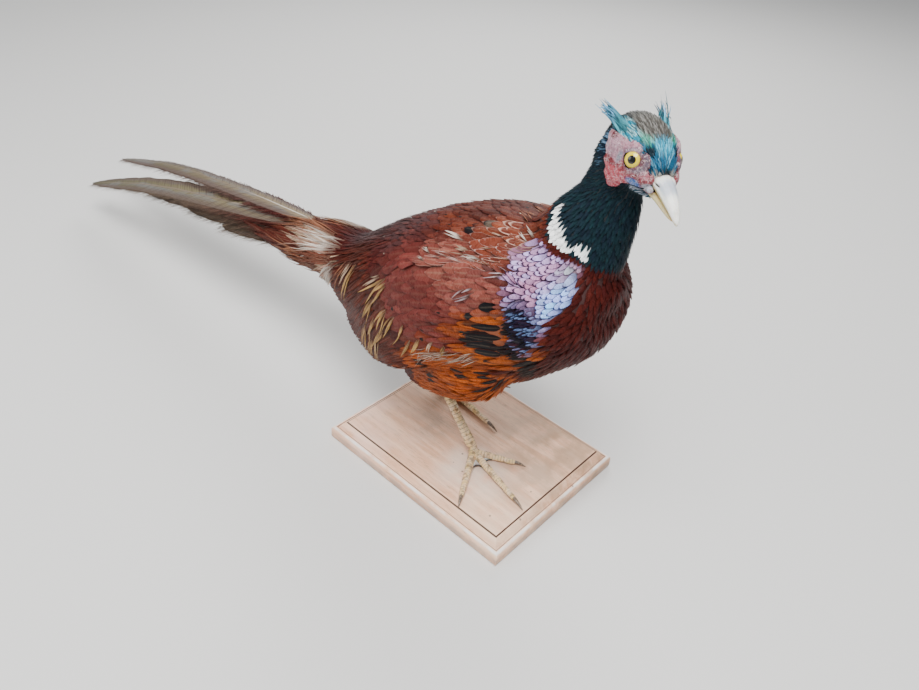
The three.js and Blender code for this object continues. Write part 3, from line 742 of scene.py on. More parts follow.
# Swellings added to each wattle, in the head's axes with y outward: centre and radii.
FACE_SWELLINGS = [((3.5, 11.8, 12.0), (8.5, 4.2, 5.0)), ((13.5, 10.0, 8.0), (6.5, 3.4, 6.5)),
                  ((15, 9.6, 1.5), (8.0, 3.6, 7.0)), ((19.5, 7.6, 2.2), (5.0, 3.2, 4.6)),
                  ((19.5, 7.0, -3.0), (7.5, 2.6, 2.6)), ((-8, 18.6, 8.5), (6.5, 3.6, 6.0))]
FACE_RED, LID_GREY = (0.30, 0.065, 0.075), (0.16, 0.15, 0.20)
# Colours of the face, each over the ones before it: centre, radii, colour.
FACE_COLOURS = [
    ((0, 19, -8), (17, 9, 9), (0.56, 0.10, 0.125)),
    ((-4, 20, 8), (9, 9, 8), (0.50, 0.27, 0.34)),
    ((4, 14, 15), (9, 8, 5), (0.48, 0.24, 0.30)),
    ((-13, 20, 6), (4, 6, 7), (0.52, 0.34, 0.40)),
    ((-9.3, 19.6, 14), (3.2, 6, 2.6), (0.13, 0.015, 0.025)),
    ((-5, 20, 0.5), (7, 6, 2.2), (0.24, 0.035, 0.045)),
    ((15.8, 11.6, 8.5), (5, 6, 6.5), (0.17, 0.03, 0.045)),
    ((20, 10.5, 3.6), (3, 5, 2.6), (0.55, 0.17, 0.20)),
    ((15.7, 13.9, -3.6), (5.8, 5, 2.6), (0.07, 0.19, 0.50)),
    ((23.5, 8.5, -2.0), (4.4, 4, 2.4), (0.42, 0.45, 0.52)),
    ((2.4, 17, 5.4), (2.2, 5, 5), (0.24, 0.26, 0.34)),
]


def shaded(colour, value, saturation=1.0):
    """A colour made darker or lighter, and duller or stronger."""
    return node("HueSaturation", 0, {"Color": colour, "Value": value, "Saturation": saturation})


def swelling(centre, radii, side):
    """An ellipsoid in the head's axes."""
    made = fresh_object("swelling", lambda: bpy.ops.mesh.primitive_uv_sphere_add(
        segments=24, ring_count=14, radius=MM))
    made.scale = radii
    made.rotation_euler = head_turned.to_euler()
    made.location = Vector(from_head(np.array(centre) * (1, side, 1))[0]) * MM
    settle()
    return made


bare_skin = finish("bare_face", Specular_IOR_Level=0.4, Subsurface_Weight=0.15,
                   Subsurface_Scale=0.0015)
coords = node("TexCoord", "Object")
stray = vector_maths("MULTIPLY", node("TexNoise", "Color", {"Vector": coords, "Scale": 700.0}),
                     (0.0007, 0.0007, 0.0007))
cells = node("TexVoronoi", "Distance", {"Vector": vector_maths("ADD", coords, stray),
                                        "Scale": 900.0}, feature="DISTANCE_TO_EDGE")
crease = ramp(cells, 0.13, 0.02)
blotch = cloudy(coords, 560, 4)
tint = painted("tint")
colour = blend(tint, ramp(blotch, 0.42, 0.62) * 0.7, shaded(tint, 0.42, 1.25))
dry = crease * ramp(cloudy(coords, 420, 2), 0.40, 0.56)
colour = blend(colour, dry * 0.65, (0.82, 0.66, 0.68))
surface(colour, blotch * 0.3 + 0.38, blotch * 0.4 - crease, 0.00025)

faces = []
for side, side_name in SIDES:
    face = remeshed("face_" + side_name, ["wattle_" + side_name], 0.42, 5, additions=[
        swelling(centre, radii, side) for centre, radii in FACE_SWELLINGS])
    local = in_head(vertex_array(face.data) / MM)
    local[:, 1] *= side
    # The papillae: small swellings in irregular rows.
    normals = vertex_array(face.data, "vector") @ HEAD_AXES * (1, side, 1)
    beads = 0.5 + 0.5 * np.sin(local[:, 0] * 3.1 + 1.5 * np.sin(local[:, 2])) * np.sin(
        local[:, 2] * 3.4 + 1.3 * np.sin(local[:, 0] * 0.9))
    local += normals * (0.38 * beads * rise(-local[:, 2], -10, 2) + 0.12 * beads)[:, None]
    # Behind the cheek it runs in under the plumage.
    behind = -in_front_of_cheek(local) + 0.8 * np.sin(local[:, 2] * 0.9)
    local[:, 1] -= 4.5 * rise(behind, 0, 3)
    local = towards(local, FACE_REAR, 0.9 * rise(behind, 1.5, 7))
    out = local - EYE_AT
    reach = np.linalg.norm(out, axis=1)
    off_axis = np.arccos(np.clip(out @ EYE_AXIS / reach, -1, 1))
    fold = np.exp(-(((off_axis - LID_OPENING - 0.14) / 0.13) ** 2))
    second = np.exp(-(((off_axis - LID_OPENING - 0.5) / 0.09) ** 2))
    lid = EYE_RADIUS + 0.15 + 0.75 * fold
    over_eye = (off_axis > LID_OPENING) & (off_axis < LID_OPENING + 0.6)
    wanted = np.where(over_eye, np.maximum(reach, lid), reach)
    wanted = np.where(off_axis <= LID_OPENING, np.minimum(reach, EYE_RADIUS - 0.5), wanted)
    wanted += 0.35 * second * (reach < 11)
    local = EYE_AT + out / reach[:, None] * wanted[:, None]
    colours = np.tile(FACE_RED, (len(local), 1))
    for centre, radii, colour in FACE_COLOURS:
        colours = towards(colours, colour, ellipsoid(local, centre, radii, 0.3, 0.1))
    lid_edge = fold * (off_axis > LID_OPENING - 0.05)
    paint(face.data, "tint", towards(colours, LID_GREY, lid_edge * 0.7))
    move_points(face.data, from_head(local * (1, side, 1)))
    face.data.materials.append(bare_skin)
    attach(face, "root")
    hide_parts("wattle_" + side_name)
    faces.append(face)

# ---------------------------------------------------------------- glass eyes
# Each is a glass ball painted from behind: black pupil, yellow iris with fine rays darkening to
# the rim, and a clear wet polish. It is set deep in the lids, which hide all but its front.
eye_finish = finish("glass_eye", Roughness=0.04, Specular_IOR_Level=0.55, Coat_Weight=0.25,
                    Coat_Roughness=0.02)
x, y, _ = axes(painted("gaze", "Vector"))
around = node("CombineXYZ", 0, {0: x, 1: y})
off = vector_maths("LENGTH", around, gives="Value")
ray_at = vector_maths("MULTIPLY", vector_maths("NORMALIZE", around), (9.0, 9.0, 9.0))
rays = node("TexNoise", "Fac", {"Vector": ray_at, "Scale": 2.0, "Detail": 4.0})
iris = blend((0.84, 0.70, 0.02), ramp(rays, 0.35, 0.7), (0.74, 0.50, 0.012))
iris = blend(iris, ramp(off, 0.62, 0.78), (0.62, 0.46, 0.04))
iris = blend(iris, ramp(off, 0.76, 0.80), (0.03, 0.02, 0.015))
surface(blend(iris, ramp(off, 0.415, 0.385), (0.004, 0.004, 0.004)))


def store(mesh, name, vectors):
    """Stores three numbers for each vertex."""
    layer = mesh.attributes.new(name, "FLOAT_VECTOR", "POINT")
    layer.data.foreach_set("vector", vectors.astype(np.float32).ravel())


for side, side_name in SIDES:
    centre = Vector(from_head(EYE_AT * (1, side, 1))[0]) * MM
    ball = fresh_object("eye_ball_" + side_name, lambda: bpy.ops.mesh.primitive_uv_sphere_add(
        segments=48, ring_count=32, radius=EYE_RADIUS * MM))
    forward = Vector((EYE_AXIS * (1, side, 1)) @ HEAD_AXES.T)
    # The pole of the ball is turned to look out along the eye's axis.
    turned = forward.to_track_quat("Z", "Y").to_matrix().to_4x4()
    ball.matrix_world = Matrix.Translation(centre) @ turned
    looks = vertex_array(ball.data) / (EYE_RADIUS * MM)
    looks[:, :2][looks[:, 2] < 0] = 1.0
    store(ball.data, "gaze", looks)
    settle()
    bpy.ops.object.shade_smooth()
    ball.data.materials.append(eye_finish)
    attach(ball, "root")
    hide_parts("eye_" + side_name)

# ---------------------------------------------------------------- bill
# Two horn sheaths over the jaw bones: the hooked upper one, ivory with a band of painted grey-blue
# shade and a swollen scale over each nostril, overlaps the lower, whose edge shows yellow.
IVORY, NOSTRIL_DARK = (0.95, 0.94, 0.86), (0.06, 0.05, 0.045)


def horn_colours(local):
    """Colours of the bill by place in the head's axes."""
    along, tall = local[:, 0], local[:, 2]
    ridge = 2 + 4.8 - 0.0105 * np.clip(along - 22, 0, None) ** 2
    colour = np.tile(IVORY, (len(local), 1))
    layers = [
        (rise(along, 34, 41), (0.99, 0.99, 0.93)),
        # Painted shade: a grey-blue band over the upper part of the bill.
        (np.exp(-(((along - 32.5) / 5.2) ** 4)) * rise(tall - ridge, -7, -3), (0.42, 0.48, 0.58)),
        (rise(-along, -27, -23) * rise(tall, 0.5, 4), (0.56, 0.44, 0.40)),
        (rise(-along, -26, -22) * rise(-tall, -1, 1.5), (0.55, 0.60, 0.66)),
        (rise(ridge - tall - 0.05 * along, 4.2, 6.4), (0.62, 0.49, 0.17)),
    ]
    for part, wanted in layers:
        colour = towards(colour, wanted, part * 0.85)
    return colour


horn = finish("bill_horn", Specular_IOR_Level=0.5, Subsurface_Weight=0.12, Subsurface_Scale=0.001)
coords = node("TexCoord", "Object")
growth = cloudy(coords, 520, 4, (1, 1, 0.35))
stains = cloudy(coords, 150, 4)
colour = blend(painted("tint"), ramp(growth, 0.5, 0.75) * 0.3, (0.56, 0.52, 0.46))
colour = blend(colour, ramp(stains, 0.52, 0.7) * 0.2, (0.40, 0.34, 0.28))
surface(colour, growth * 0.3 + 0.22, growth, 0.00008)
for part_name, nostril in (("upper", 1), ("lower", 0)):
    sheath = remeshed("bill_sheath_" + part_name, ["bill_" + part_name], 0.36, 6)
    local = in_head(vertex_array(sheath.data) / MM)
    outwards = vertex_array(sheath.data, "vector") @ HEAD_AXES
    # Smoothing draws the thin horn in; this puts its size back.
    swell = np.full(len(local), 0.22)
    if nostril:
        beside = np.array([local[:, 0], np.abs(local[:, 1]), local[:, 2]]).T
        scale_at = np.linalg.norm((beside - (25.5, 4.2, 3.6)) / (4.2, 2.6, 2.0), axis=1)
        slit = np.linalg.norm((beside - (27.2, 4.6, 2.0)) / (2.6, 3.0, 0.6), axis=1)
        swell = swell + 0.6 * rise(-scale_at, -1.1, -0.5) - 0.7 * rise(-slit, -1.2, -0.6)
    colours = horn_colours(local)
    if nostril:
        colours = towards(colours, NOSTRIL_DARK, rise(-slit, -1.15, -0.7))
    paint(sheath.data, "tint", colours)
    move_points(sheath.data, from_head(local + outwards * swell[:, None]))
    sheath.data.materials.append(horn)
    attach(sheath, "root")
    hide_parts("bill_" + part_name)

# ---------------------------------------------------------------- breast and belly plumage
# Contour feathers root all over the skin and lie back over one another like shingles. Those of
# the breast are broad, glossy maroon and dark-edged; under the belly they grow longer and softer.
rng = np.random.default_rng(41)
# Tracts: centre and radii folded onto one side, then spacing, feather length and half width in
# mm, how pointed (0 round, 1 pointed) and how unruly the feathers are, painted in order.
TRACTS = [
    ("breast", "breast", (60, 0, 190), (999, 999, 999), 3.5, 11, 2.7, 0.5, 0.05),
    ("mantle", "mantle", (-5, 0, 245), (78, 44, 42), 5.2, 18, 4.2, 0.1, 0.08),
    ("rump", "mantle", (-118, 0, 182), (62, 46, 44), 2.9, 27, 1.0, 0.9, 0.18),
    ("coverts", "wing", (-8, 68, 192), (68, 34, 46), 6.6, 24, 6.4, 0.0, 0.06),
    ("lesser", "wing", (36, 66, 214), (22, 24, 22), 4.8, 15, 4.3, 0.0, 0.07),
    ("rump_side", "mantle", (-116, 46, 134), (44, 34, 46), 3.6, 32, 1.5, 0.8, 0.12),
    ("flights", "wing", (-66, 58, 126), (44, 30, 46), 4.0, 40, 2.2, 0.8, 0.10),
    ("belly", "breast", (0, 0, 96), (96, 40, 28), 5.4, 21, 2.8, 0.5, 0.14),
    ("thigh", "thigh", (16, 56, 116), (56, 36, 42), 3.4, 17, 2.0, 0.6, 0.12),
    ("flank", "thigh", (50, 62, 178), (34, 26, 26), 5.2, 24, 3.8, 0.5, 0.12),
    ("shoulder", "breast", (64, 44, 224), (42, 40, 40), 3.1, 11, 2.9, 0.3, 0.07),
    ("mottle", "breast", (70, 56, 199), (16, 18, 22), 1.9, 5.5, 1.15, 0.4, 0.25),
]
NECK_MEASURES = (2.1, 7.5, 1.35, 0.4, 0.08)
HEAD_MEASURES = (1.2, 4.8, 0.55, 0.6, 0.22)
COLLAR_MEASURES = (1.9, 6.0, 1.7, 0.1, 0.05)
TAIL_COVERT_MEASURES = (5.2, 42, 3.0, 0.7, 0.1)
GROUPS = [tract[1] for tract in TRACTS] + ["tail_coverts", "neck", "head"]
GRID_CELL = 9.0  # mm, more than the widest spacing
ROOT_TRIES = 120000


def tract_of(points):
    """Number of the tract and its five measures at each point."""
    points = rows(points)
    flat = folded(points)
    which = np.zeros(len(points), int)
    sizes = np.tile(np.array(TRACTS[0][4:], float), (len(points), 1))
    for k, (name, _, centre, radii, *measures) in enumerate(TRACTS[1:], 1):
        part = ellipsoid(flat, centre, radii, 0.15, 0.1)
        if name in GORGET_PARTS:
            part = part * within_gorget(points)
        which[part > 0.5] = k
        sizes = towards(sizes, measures, part)
    for k, (measures, part) in enumerate((
            (TAIL_COVERT_MEASURES, rise(-points[:, 0], 156, 172)),
            (NECK_MEASURES, rise(above_neck_edge(points), -3, 3)),
            (HEAD_MEASURES, rise(up_the_head(points), 286, 300))), len(TRACTS)):
        which[part > 0.5] = k
        sizes = towards(sizes, measures, part)
    # The collar's feathers are short and round.
    collar = np.max([stroke_part(points, a, b, wide + 3, 0)
                     for a, b, wide, _ in COLLAR_STROKES], axis=0)
    return which, towards(sizes, COLLAR_MEASURES, collar)


bare = bmesh.new()
for bare_piece in faces + [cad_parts[name] for name in ("bill_upper", "bill_lower")]:
    bare.from_mesh(bare_piece.data)
bare_tree = BVHTree.FromPolygons([tuple(v.co / MM) for v in bare.verts],
                                 [[v.index for v in f.verts] for f in bare.faces])
bare.free()


def follicles(tries):
    """Feather roots scattered on the skin, each keeping its tract's spacing from the others."""
    mesh = skin.data
    mesh.calc_loop_triangles()
    corners = np.zeros(len(mesh.loop_triangles) * 3, int)
    mesh.loop_triangles.foreach_get("vertices", corners)
    a, b, c = (skin_co[corners.reshape(-1, 3)[:, k]] / MM for k in range(3))
    area = np.linalg.norm(np.cross(b - a, c - a), axis=1)
    centre_spacing = tract_of((a + b + c) / 3)[1][:, 0]
    chance = area / centre_spacing ** 2
    pick = rng.choice(len(area), tries, p=chance / chance.sum())
    s, t = rng.random((2, tries, 1))
    s, t = np.where(s + t > 1, 1 - s, s), np.where(s + t > 1, 1 - t, t)
    spots = a[pick] + (b - a)[pick] * s + (c - a)[pick] * t
    spacing = tract_of(spots)[1][:, 0]
    grid = {}
    kept = []
    for k, (spot, gap) in enumerate(zip(spots.tolist(), spacing.tolist())):
        x, y, z = (int(math.floor(v / GRID_CELL)) for v in spot)
        near = (other for i in (x - 1, x, x + 1) for j in (y - 1, y, y + 1)
                for m in (z - 1, z, z + 1) for other in grid.get((i, j, m), ()))
        if not any((spot[0] - at[0]) ** 2 + (spot[1] - at[1]) ** 2 + (spot[2] - at[2]) ** 2
                   < gap * gap for at in near):
            grid.setdefault((x, y, z), []).append(spot)
            kept.append(k)
    spots = spots[kept]
    outward = [Vector(skin_tree.find_nearest(Vector(spot))[1]) for spot in spots]
    # None root on the face, in a closed fold, or on the end of the coverts round the quills.
    free = [not on_bare_skin(Vector(spot))
            and skin_tree.ray_cast(Vector(spot) + out * 0.4, out, 12.0)[0] is None
            and not (spot[0] < -240 and out.x < -0.55) for spot, out in zip(spots, outward)]
    return spots[free]


def on_bare_skin(spot):
    """Whether a place is under or close beside the naked face or the bill."""
    at, normal, _, away = bare_tree.find_nearest(spot, 4.0)
    return at is not None and (away < 0.9 or (spot - at).dot(normal) < 0)


def drape(roots, lengths, lift, wild, count, flow=None):
    """Lines of count points, each over the skin from a root along the lie of the coat, rising to
    lift mm above it at the tip, with the skin's normals."""
    def on_skin(points):
        found = [skin_tree.find_nearest(tuple(p)) for p in points]
        return (np.array([f[0][:] for f in found]), np.array([f[1][:] for f in found]))
    at, normal = on_skin(roots)
    heading = lie(roots) if flow is None else rows(flow)
    heading = unit(heading - normal * (heading * normal).sum(1)[:, None])
    turn = (rng.normal(0, 1, len(roots)) * wild)[:, None]
    heading = heading * np.cos(turn) + np.cross(normal, heading) * np.sin(turn)
    places, normals = [at], [normal]
    step = (np.asarray(lengths) / (count - 1))[:, None]
    for k in range(1, count):
        ahead = at + heading * step
        nearest, facing = on_skin(ahead)
        off = np.linalg.norm(nearest - ahead, axis=1)[:, None]
        # Past an edge of the skin a feather carries straight on.
        folds = rise(-(facing * normals[-1]).sum(1)[:, None], -0.75, -0.45)
        hold = np.maximum(rise(off, 1.2, 4.0), folds)
        new_at = nearest * (1 - hold) + ahead * hold
        normal = facing * (1 - hold) + normal * hold
        normal = unit(normal * 0.6 + normals[-1] * 0.4)
        wanted = lie(new_at) if flow is None else heading
        heading = 0.75 * unit(new_at - at) + 0.25 * wanted
        heading = unit(heading - normal * (heading * normal).sum(1)[:, None] * (1 - hold))
        at = new_at
        places.append(at)
        normals.append(normal)
    places, normals = np.stack(places, 1), np.stack(normals, 1)
    height = np.linspace(0, 1, count)[None, :] ** 0.8 * np.asarray(lift)[:, None]
    return places + normals * height[:, :, None], normals


# The line through the body that the skin's unwrap follows.
SPINE = np.array([(122, -8, 312), (100, 4, 316), (82, 4, 290), (72, 4, 250), (48, 4, 200),
                  (-30, 4, 165), (-120, 4, 132), (-300, 4, 104), (-640, 4, 55)], float)


def unwrap(points):
    """Distance along the spine and the angle about it; the seam runs along the underside."""
    runs = np.diff(SPINE, axis=0)
    reach = np.linalg.norm(runs, axis=1)
    t = ((points[:, None] - SPINE[:-1]) * runs).sum(2) / reach ** 2
    t = np.clip(t, 0, 1)
    feet = SPINE[:-1] + t[:, :, None] * runs
    nearest = np.linalg.norm(points[:, None] - feet, axis=2).argmin(1)
    here = np.arange(len(points)), nearest
    left = unit(np.cross((0, 0, 1.0), runs))[nearest]
    over = np.cross(unit(runs)[nearest], left)
    out = points - feet[here]
    along = (np.cumsum(reach) - reach + t * reach)[here]
    return np.stack([along, np.arctan2((out * left).sum(1), (out * over).sum(1))], 1)


def weave(name, places, normals, half, tint, rim, amounts, across, camber=0.16, sweep=0.5,
          along=None):
    """Joins feathers into one mesh: thin closed vanes arched across, with their colours, a map
    over each vane, one in mm for its barbs, and a small patch each on the skin's unwrap."""
    count, steps = places.shape[:2]
    tangent = np.gradient(places, axis=1)
    tangent /= np.linalg.norm(tangent, axis=2)[:, :, None] + 1e-9
    sideways = np.cross(tangent, normals)
    sideways /= np.linalg.norm(sideways, axis=2)[:, :, None] + 1e-9
    up = np.cross(sideways, tangent)
    u = np.linspace(-1, 1, across + 1)
    wide = (half[:, :, None] * u)[..., None]
    droop = (half[:, :, None] * u * u)[..., None]
    points = (places[:, :, None] + sideways[:, :, None] * wide
              - up[:, :, None] * droop * camber - tangent[:, :, None] * droop * sweep)
    each = steps * (across + 1)

    def spot(i, j):
        return i * (across + 1) + j
    top = [[spot(i, j), spot(i, j + 1), spot(i + 1, j + 1), spot(i + 1, j)]
           for i in range(steps - 1) for j in range(across)]
    under = [[spot(i, 0), spot(i + 1, 0), spot(i + 1, across), spot(i, across)]
             for i in range(steps - 1)]
    caps = [[spot(0, j) for j in range(across, -1, -1)],
            [spot(steps - 1, j) for j in range(across + 1)]]
    polygons = top + under + caps
    loops = np.array([v for polygon in polygons for v in polygon])
    starts = np.cumsum([0] + [len(polygon) for polygon in polygons[:-1]])
    shifts = np.arange(count)[:, None]
    all_loops = (loops[None] + shifts * each).ravel()
    all_starts = (starts[None] + shifts * len(loops)).ravel()
    mesh = bpy.data.meshes.new(name)
    mesh.vertices.add(count * each)
    mesh.vertices.foreach_set("co", (points.reshape(-1, 3) * MM).ravel())
    mesh.loops.add(len(all_loops))
    mesh.loops.foreach_set("vertex_index", all_loops)
    mesh.polygons.add(len(all_starts))
    mesh.polygons.foreach_set("loop_start", all_starts)
    mesh.update(calc_edges=True)
    mesh.shade_smooth()
    mesh.set_sharp_from_angle(angle=math.radians(60))

    v = np.linspace(0, 1, steps) if along is None else along
    over_vane = np.broadcast_to(np.stack(np.meshgrid(v, 0.5 + 0.5 * u, indexing="ij")[::-1], -1),
                                (count, steps, across + 1, 2)).reshape(-1, 2)
    walked = np.concatenate([np.zeros((count, 1)),
                             np.cumsum(np.linalg.norm(np.diff(places, axis=1), axis=2), 1)], 1)
    in_mm = np.stack([np.broadcast_to(wide[..., 0], (count, steps, across + 1)),
                      np.broadcast_to(walked[:, :, None], (count, steps, across + 1))],
                     -1).reshape(-1, 2)
    # Each feather's patch for baking is small, so that few of them overlap.
    patch = float(np.clip(0.35 / math.sqrt(count), 0.003, 0.012))
    root = unwrap(places[:, 0])
    span = np.ptp(root, axis=0)
    root = patch + (root - root.min(0)) / np.maximum(span, 1e-6) * (1 - 3 * patch)
    corner = over_vane.reshape(count, each, 2)
    bake = (root[:, None] + (corner - (0.5, 0)) * patch).reshape(-1, 2)
    for layer_name, values in (("vane", over_vane), ("barbs", in_mm), ("OFBake", bake)):
        layer = mesh.uv_layers.new(name=layer_name)
        layer.uv.foreach_set("vector", values[all_loops].astype(np.float32).ravel())
    luck = rng.random((count, 1))
    if tint.ndim == 2:
        tint = np.repeat(tint[:, None], steps, axis=1)
    paint(mesh, "tint", np.hstack([np.repeat(tint.reshape(-1, 3), across + 1, axis=0),
                                   np.repeat(luck, each, axis=0)]))
    paint(mesh, "rim", np.repeat(np.hstack([rim, amounts[:, :1]]), each, axis=0))
    paint(mesh, "marks", np.repeat(np.hstack([amounts[:, 1:4], luck]), each, axis=0))
    return take_up(name, mesh)


def vane_shape(count, half, pointed, along=None):
    """Half widths along each feather: narrow at the root, broad, then rounded or pointed."""
    t = (np.linspace(0, 1, count) if along is None else along)[None]
    pointed = np.asarray(pointed)[:, None]
    blunt = np.clip(1 - t ** 4.6, 0, 1) ** 0.5
    sharp = np.clip(1 - t ** 1.5, 0, 1) ** 0.9
    body = np.minimum(1, 0.45 + 1.5 * t)
    ending = blunt * (1 - pointed) + sharp * pointed
    return np.maximum(np.asarray(half)[:, None] * body * ending, 0.07)


def vane_map(lean, fine, across, detail, coarse):
    """For a vane's material: how near an edge and the tip, its colours with their extras, the
    place in mm along its slanting barbs, and their grain."""
    u, v, _ = axes(node("UVMap", 0, uv_map="vane"))
    tint, luck = painted("tint", ("Color", "Alpha"))
    x, y, _ = axes(node("UVMap", 0, uv_map="barbs"))
    slant = y - abs(x) * lean
    grain_at = node("CombineXYZ", 0, {0: slant * fine, 1: x * across, 2: luck * 60.0})
    strands = node("TexNoise", "Fac", {"Vector": grain_at, "Scale": 1.0, "Detail": detail,
                                       "Roughness": coarse})
    return abs(u - 0.5) * 2.0, v, tint, luck, x, y, slant, strands


def feather_finish(name, gloss, root_shade, barb_depth):
    """Coloured by its attributes: rim, pale shaft streak, dark spot, bars and fine barbs."""
    material = finish(name, Specular_IOR_Level=0.07)
    edge, v, tint, luck, _, _, _, strands = vane_map(1.0, 1.5, 0.18, 3.0, 0.65)
    rim, rim_width = painted("rim", ("Color", "Alpha"))
    streaks, spots, bars = axes(painted("marks", "Vector"))
    colour = blend(tint, ramp(strands, 0.3, 0.7), shaded(tint, 0.62, 1.1))
    # Darker to the root, where the feather in front covers it.
    colour = blend(colour, ramp(v, 0.5, 0.1) * 0.4, root_shade)
    barred = ramp(maths("SINE", v * 34.0 + edge * 3.0), 0.1, 0.7)
    colour = blend(colour, barred * bars, (0.03, 0.014, 0.012))
    border = maths("MAXIMUM", v ** 5.0, edge ** 3.0) + (strands - 0.5) * 0.35
    start = 1.0 - rim_width * 2.6
    rimmed = ramp(border, start, start + 0.3) * ramp(rim_width, 0.0, 0.05)
    colour = blend(colour, rimmed, rim)
    streak = ramp(edge + strands * 0.3, 0.42, 0.2) * ramp(v, 0.95, 0.8)
    colour = blend(colour, streak * streaks, (0.72, 0.54, 0.36))
    spot = (edge / 0.36) ** 2.0 + ((v - 0.82) / 0.09) ** 2.0
    colour = blend(colour, ramp(spot, 1.0, 0.5) * spots, (0.014, 0.012, 0.012))
    # Some of the spots have a pale eye.
    eyed = spots * ramp(luck, 0.7, 0.75)
    colour = blend(colour, ramp(spot, 0.22, 0.1) * eyed, (0.75, 0.66, 0.5))
    colour = shaded(colour, luck * 0.34 + 0.68)
    shaft = ramp(edge, 0.12, 0.0)
    surface(colour, strands * 0.3 + gloss, strands + shaft * 0.5, barb_depth)
    return material


roots = follicles(ROOT_TRIES)
root_tract, root_sizes = tract_of(roots)
root_group = np.array(GROUPS)[root_tract]
silky = feather_finish("maroon_feathers", 0.32, (0.017, 0.008, 0.007), 0.00014)
GORGET_SHAPE = ((64, 44, 228), (42, 40, 36))
GORGET_ROOT_SHADE = (0.10, 0.022, 0.035)
TIP_CROWDING = 1.5
# How far in mm a tip may stand off the skin past its lift, and the part left of one that does.
STAND_OFF, WORN_SHORT = 3.5, 0.42


def gap_under(tips):
    """How far in mm each place is from the skin."""
    return np.array([skin_tree.find_nearest(Vector(tip))[3] for tip in tips])


def plumage(name, group, material, steps=6, across=4):
    """One piece of coat: every root of a group grown into a feather."""
    mine = root_group == group
    spots, sizes = roots[mine], root_sizes[mine]
    luck = rng.random(len(spots))
    lengths = sizes[:, 1] * rng.uniform(0.85, 1.15, len(spots))
    lift = coat_depth(spots) * rng.uniform(0.75, 1.15, len(spots))
    lift += 2.0 * sizes[:, 4] * rng.random(len(spots))
    places, normals = drape(spots, lengths, lift, sizes[:, 4], steps)
    if group == "tail_coverts":
        # None curls up off the tail.
        low = places[:, -1, 2] < places[:, 0, 2] + 4
        spots, sizes, luck, lengths, lift, places, normals = (
            each[low] for each in (spots, sizes, luck, lengths, lift, places, normals))
    else:
        # Those that would stand out past an edge of the body are worn short.
        loose = np.flatnonzero(gap_under(places[:, -1]) > lift + STAND_OFF)
        if len(loose):
            lengths[loose] *= WORN_SHORT
            places[loose], normals[loose] = drape(spots[loose], lengths[loose], lift[loose],
                                                  sizes[loose, 4], steps)
    # Its rows of points crowd towards the tip, which is round.
    along = 1 - (1 - np.linspace(0, 1, steps)) ** TIP_CROWDING
    low = np.minimum((along * (steps - 1)).astype(int), steps - 2)
    between = (along * (steps - 1) - low)[None, :, None]
    places = places[:, low] * (1 - between) + places[:, low + 1] * between
    normals = normals[:, low] * (1 - between) + normals[:, low + 1] * between
    half = vane_shape(steps, sizes[:, 2] * rng.uniform(0.85, 1.15, len(spots)), sizes[:, 3], along)
    # A feather takes its colour from where its tip half is seen.
    middle = places[:, np.searchsorted(along, 0.72)]
    tint, rim, amounts = markings(middle, luck)
    tint = np.repeat(tint[:, None], steps, axis=1).reshape(-1, 3)
    seen = places[:, np.maximum(np.arange(steps), steps // 2)].reshape(-1, 3)
    tint = stroked(seen, tint, STROKES).reshape(len(spots), steps, 3)
    # Painted shade darkens the gorget's scales towards their roots, leaving them bright only near
    # their ends.
    metal = (ellipsoid(folded(middle), *GORGET_SHAPE, 0.14) * within_gorget(middle))[:, None, None]
    root_shade_part = metal * (1 - rise(along, 0.3, 0.7))[None, :, None]
    tint = tint + (np.array(GORGET_ROOT_SHADE) - tint) * root_shade_part * 0.3
    white = np.max([stroke_part(middle, a, b, wide, 0.15)
                    for a, b, wide, _ in COLLAR_STROKES], axis=0) > 0.5
    tint[white] = WHITE
    rim[white] = (1.2, 1.2, 1.16)
    made = weave(name, places, normals, half, tint, rim, amounts, across=across, along=along)
    made.data.materials.append(material)
    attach(made, "root")


PLUME_ROOT = (0.15, 0.045, 0.03)
PLUME_STEPS = 6
# Plumes keep this near the skin in mm, or the second measure past the end of the coat.
PLUME_GAP, TRAILING_GAP, COAT_END = 9, 15, -285


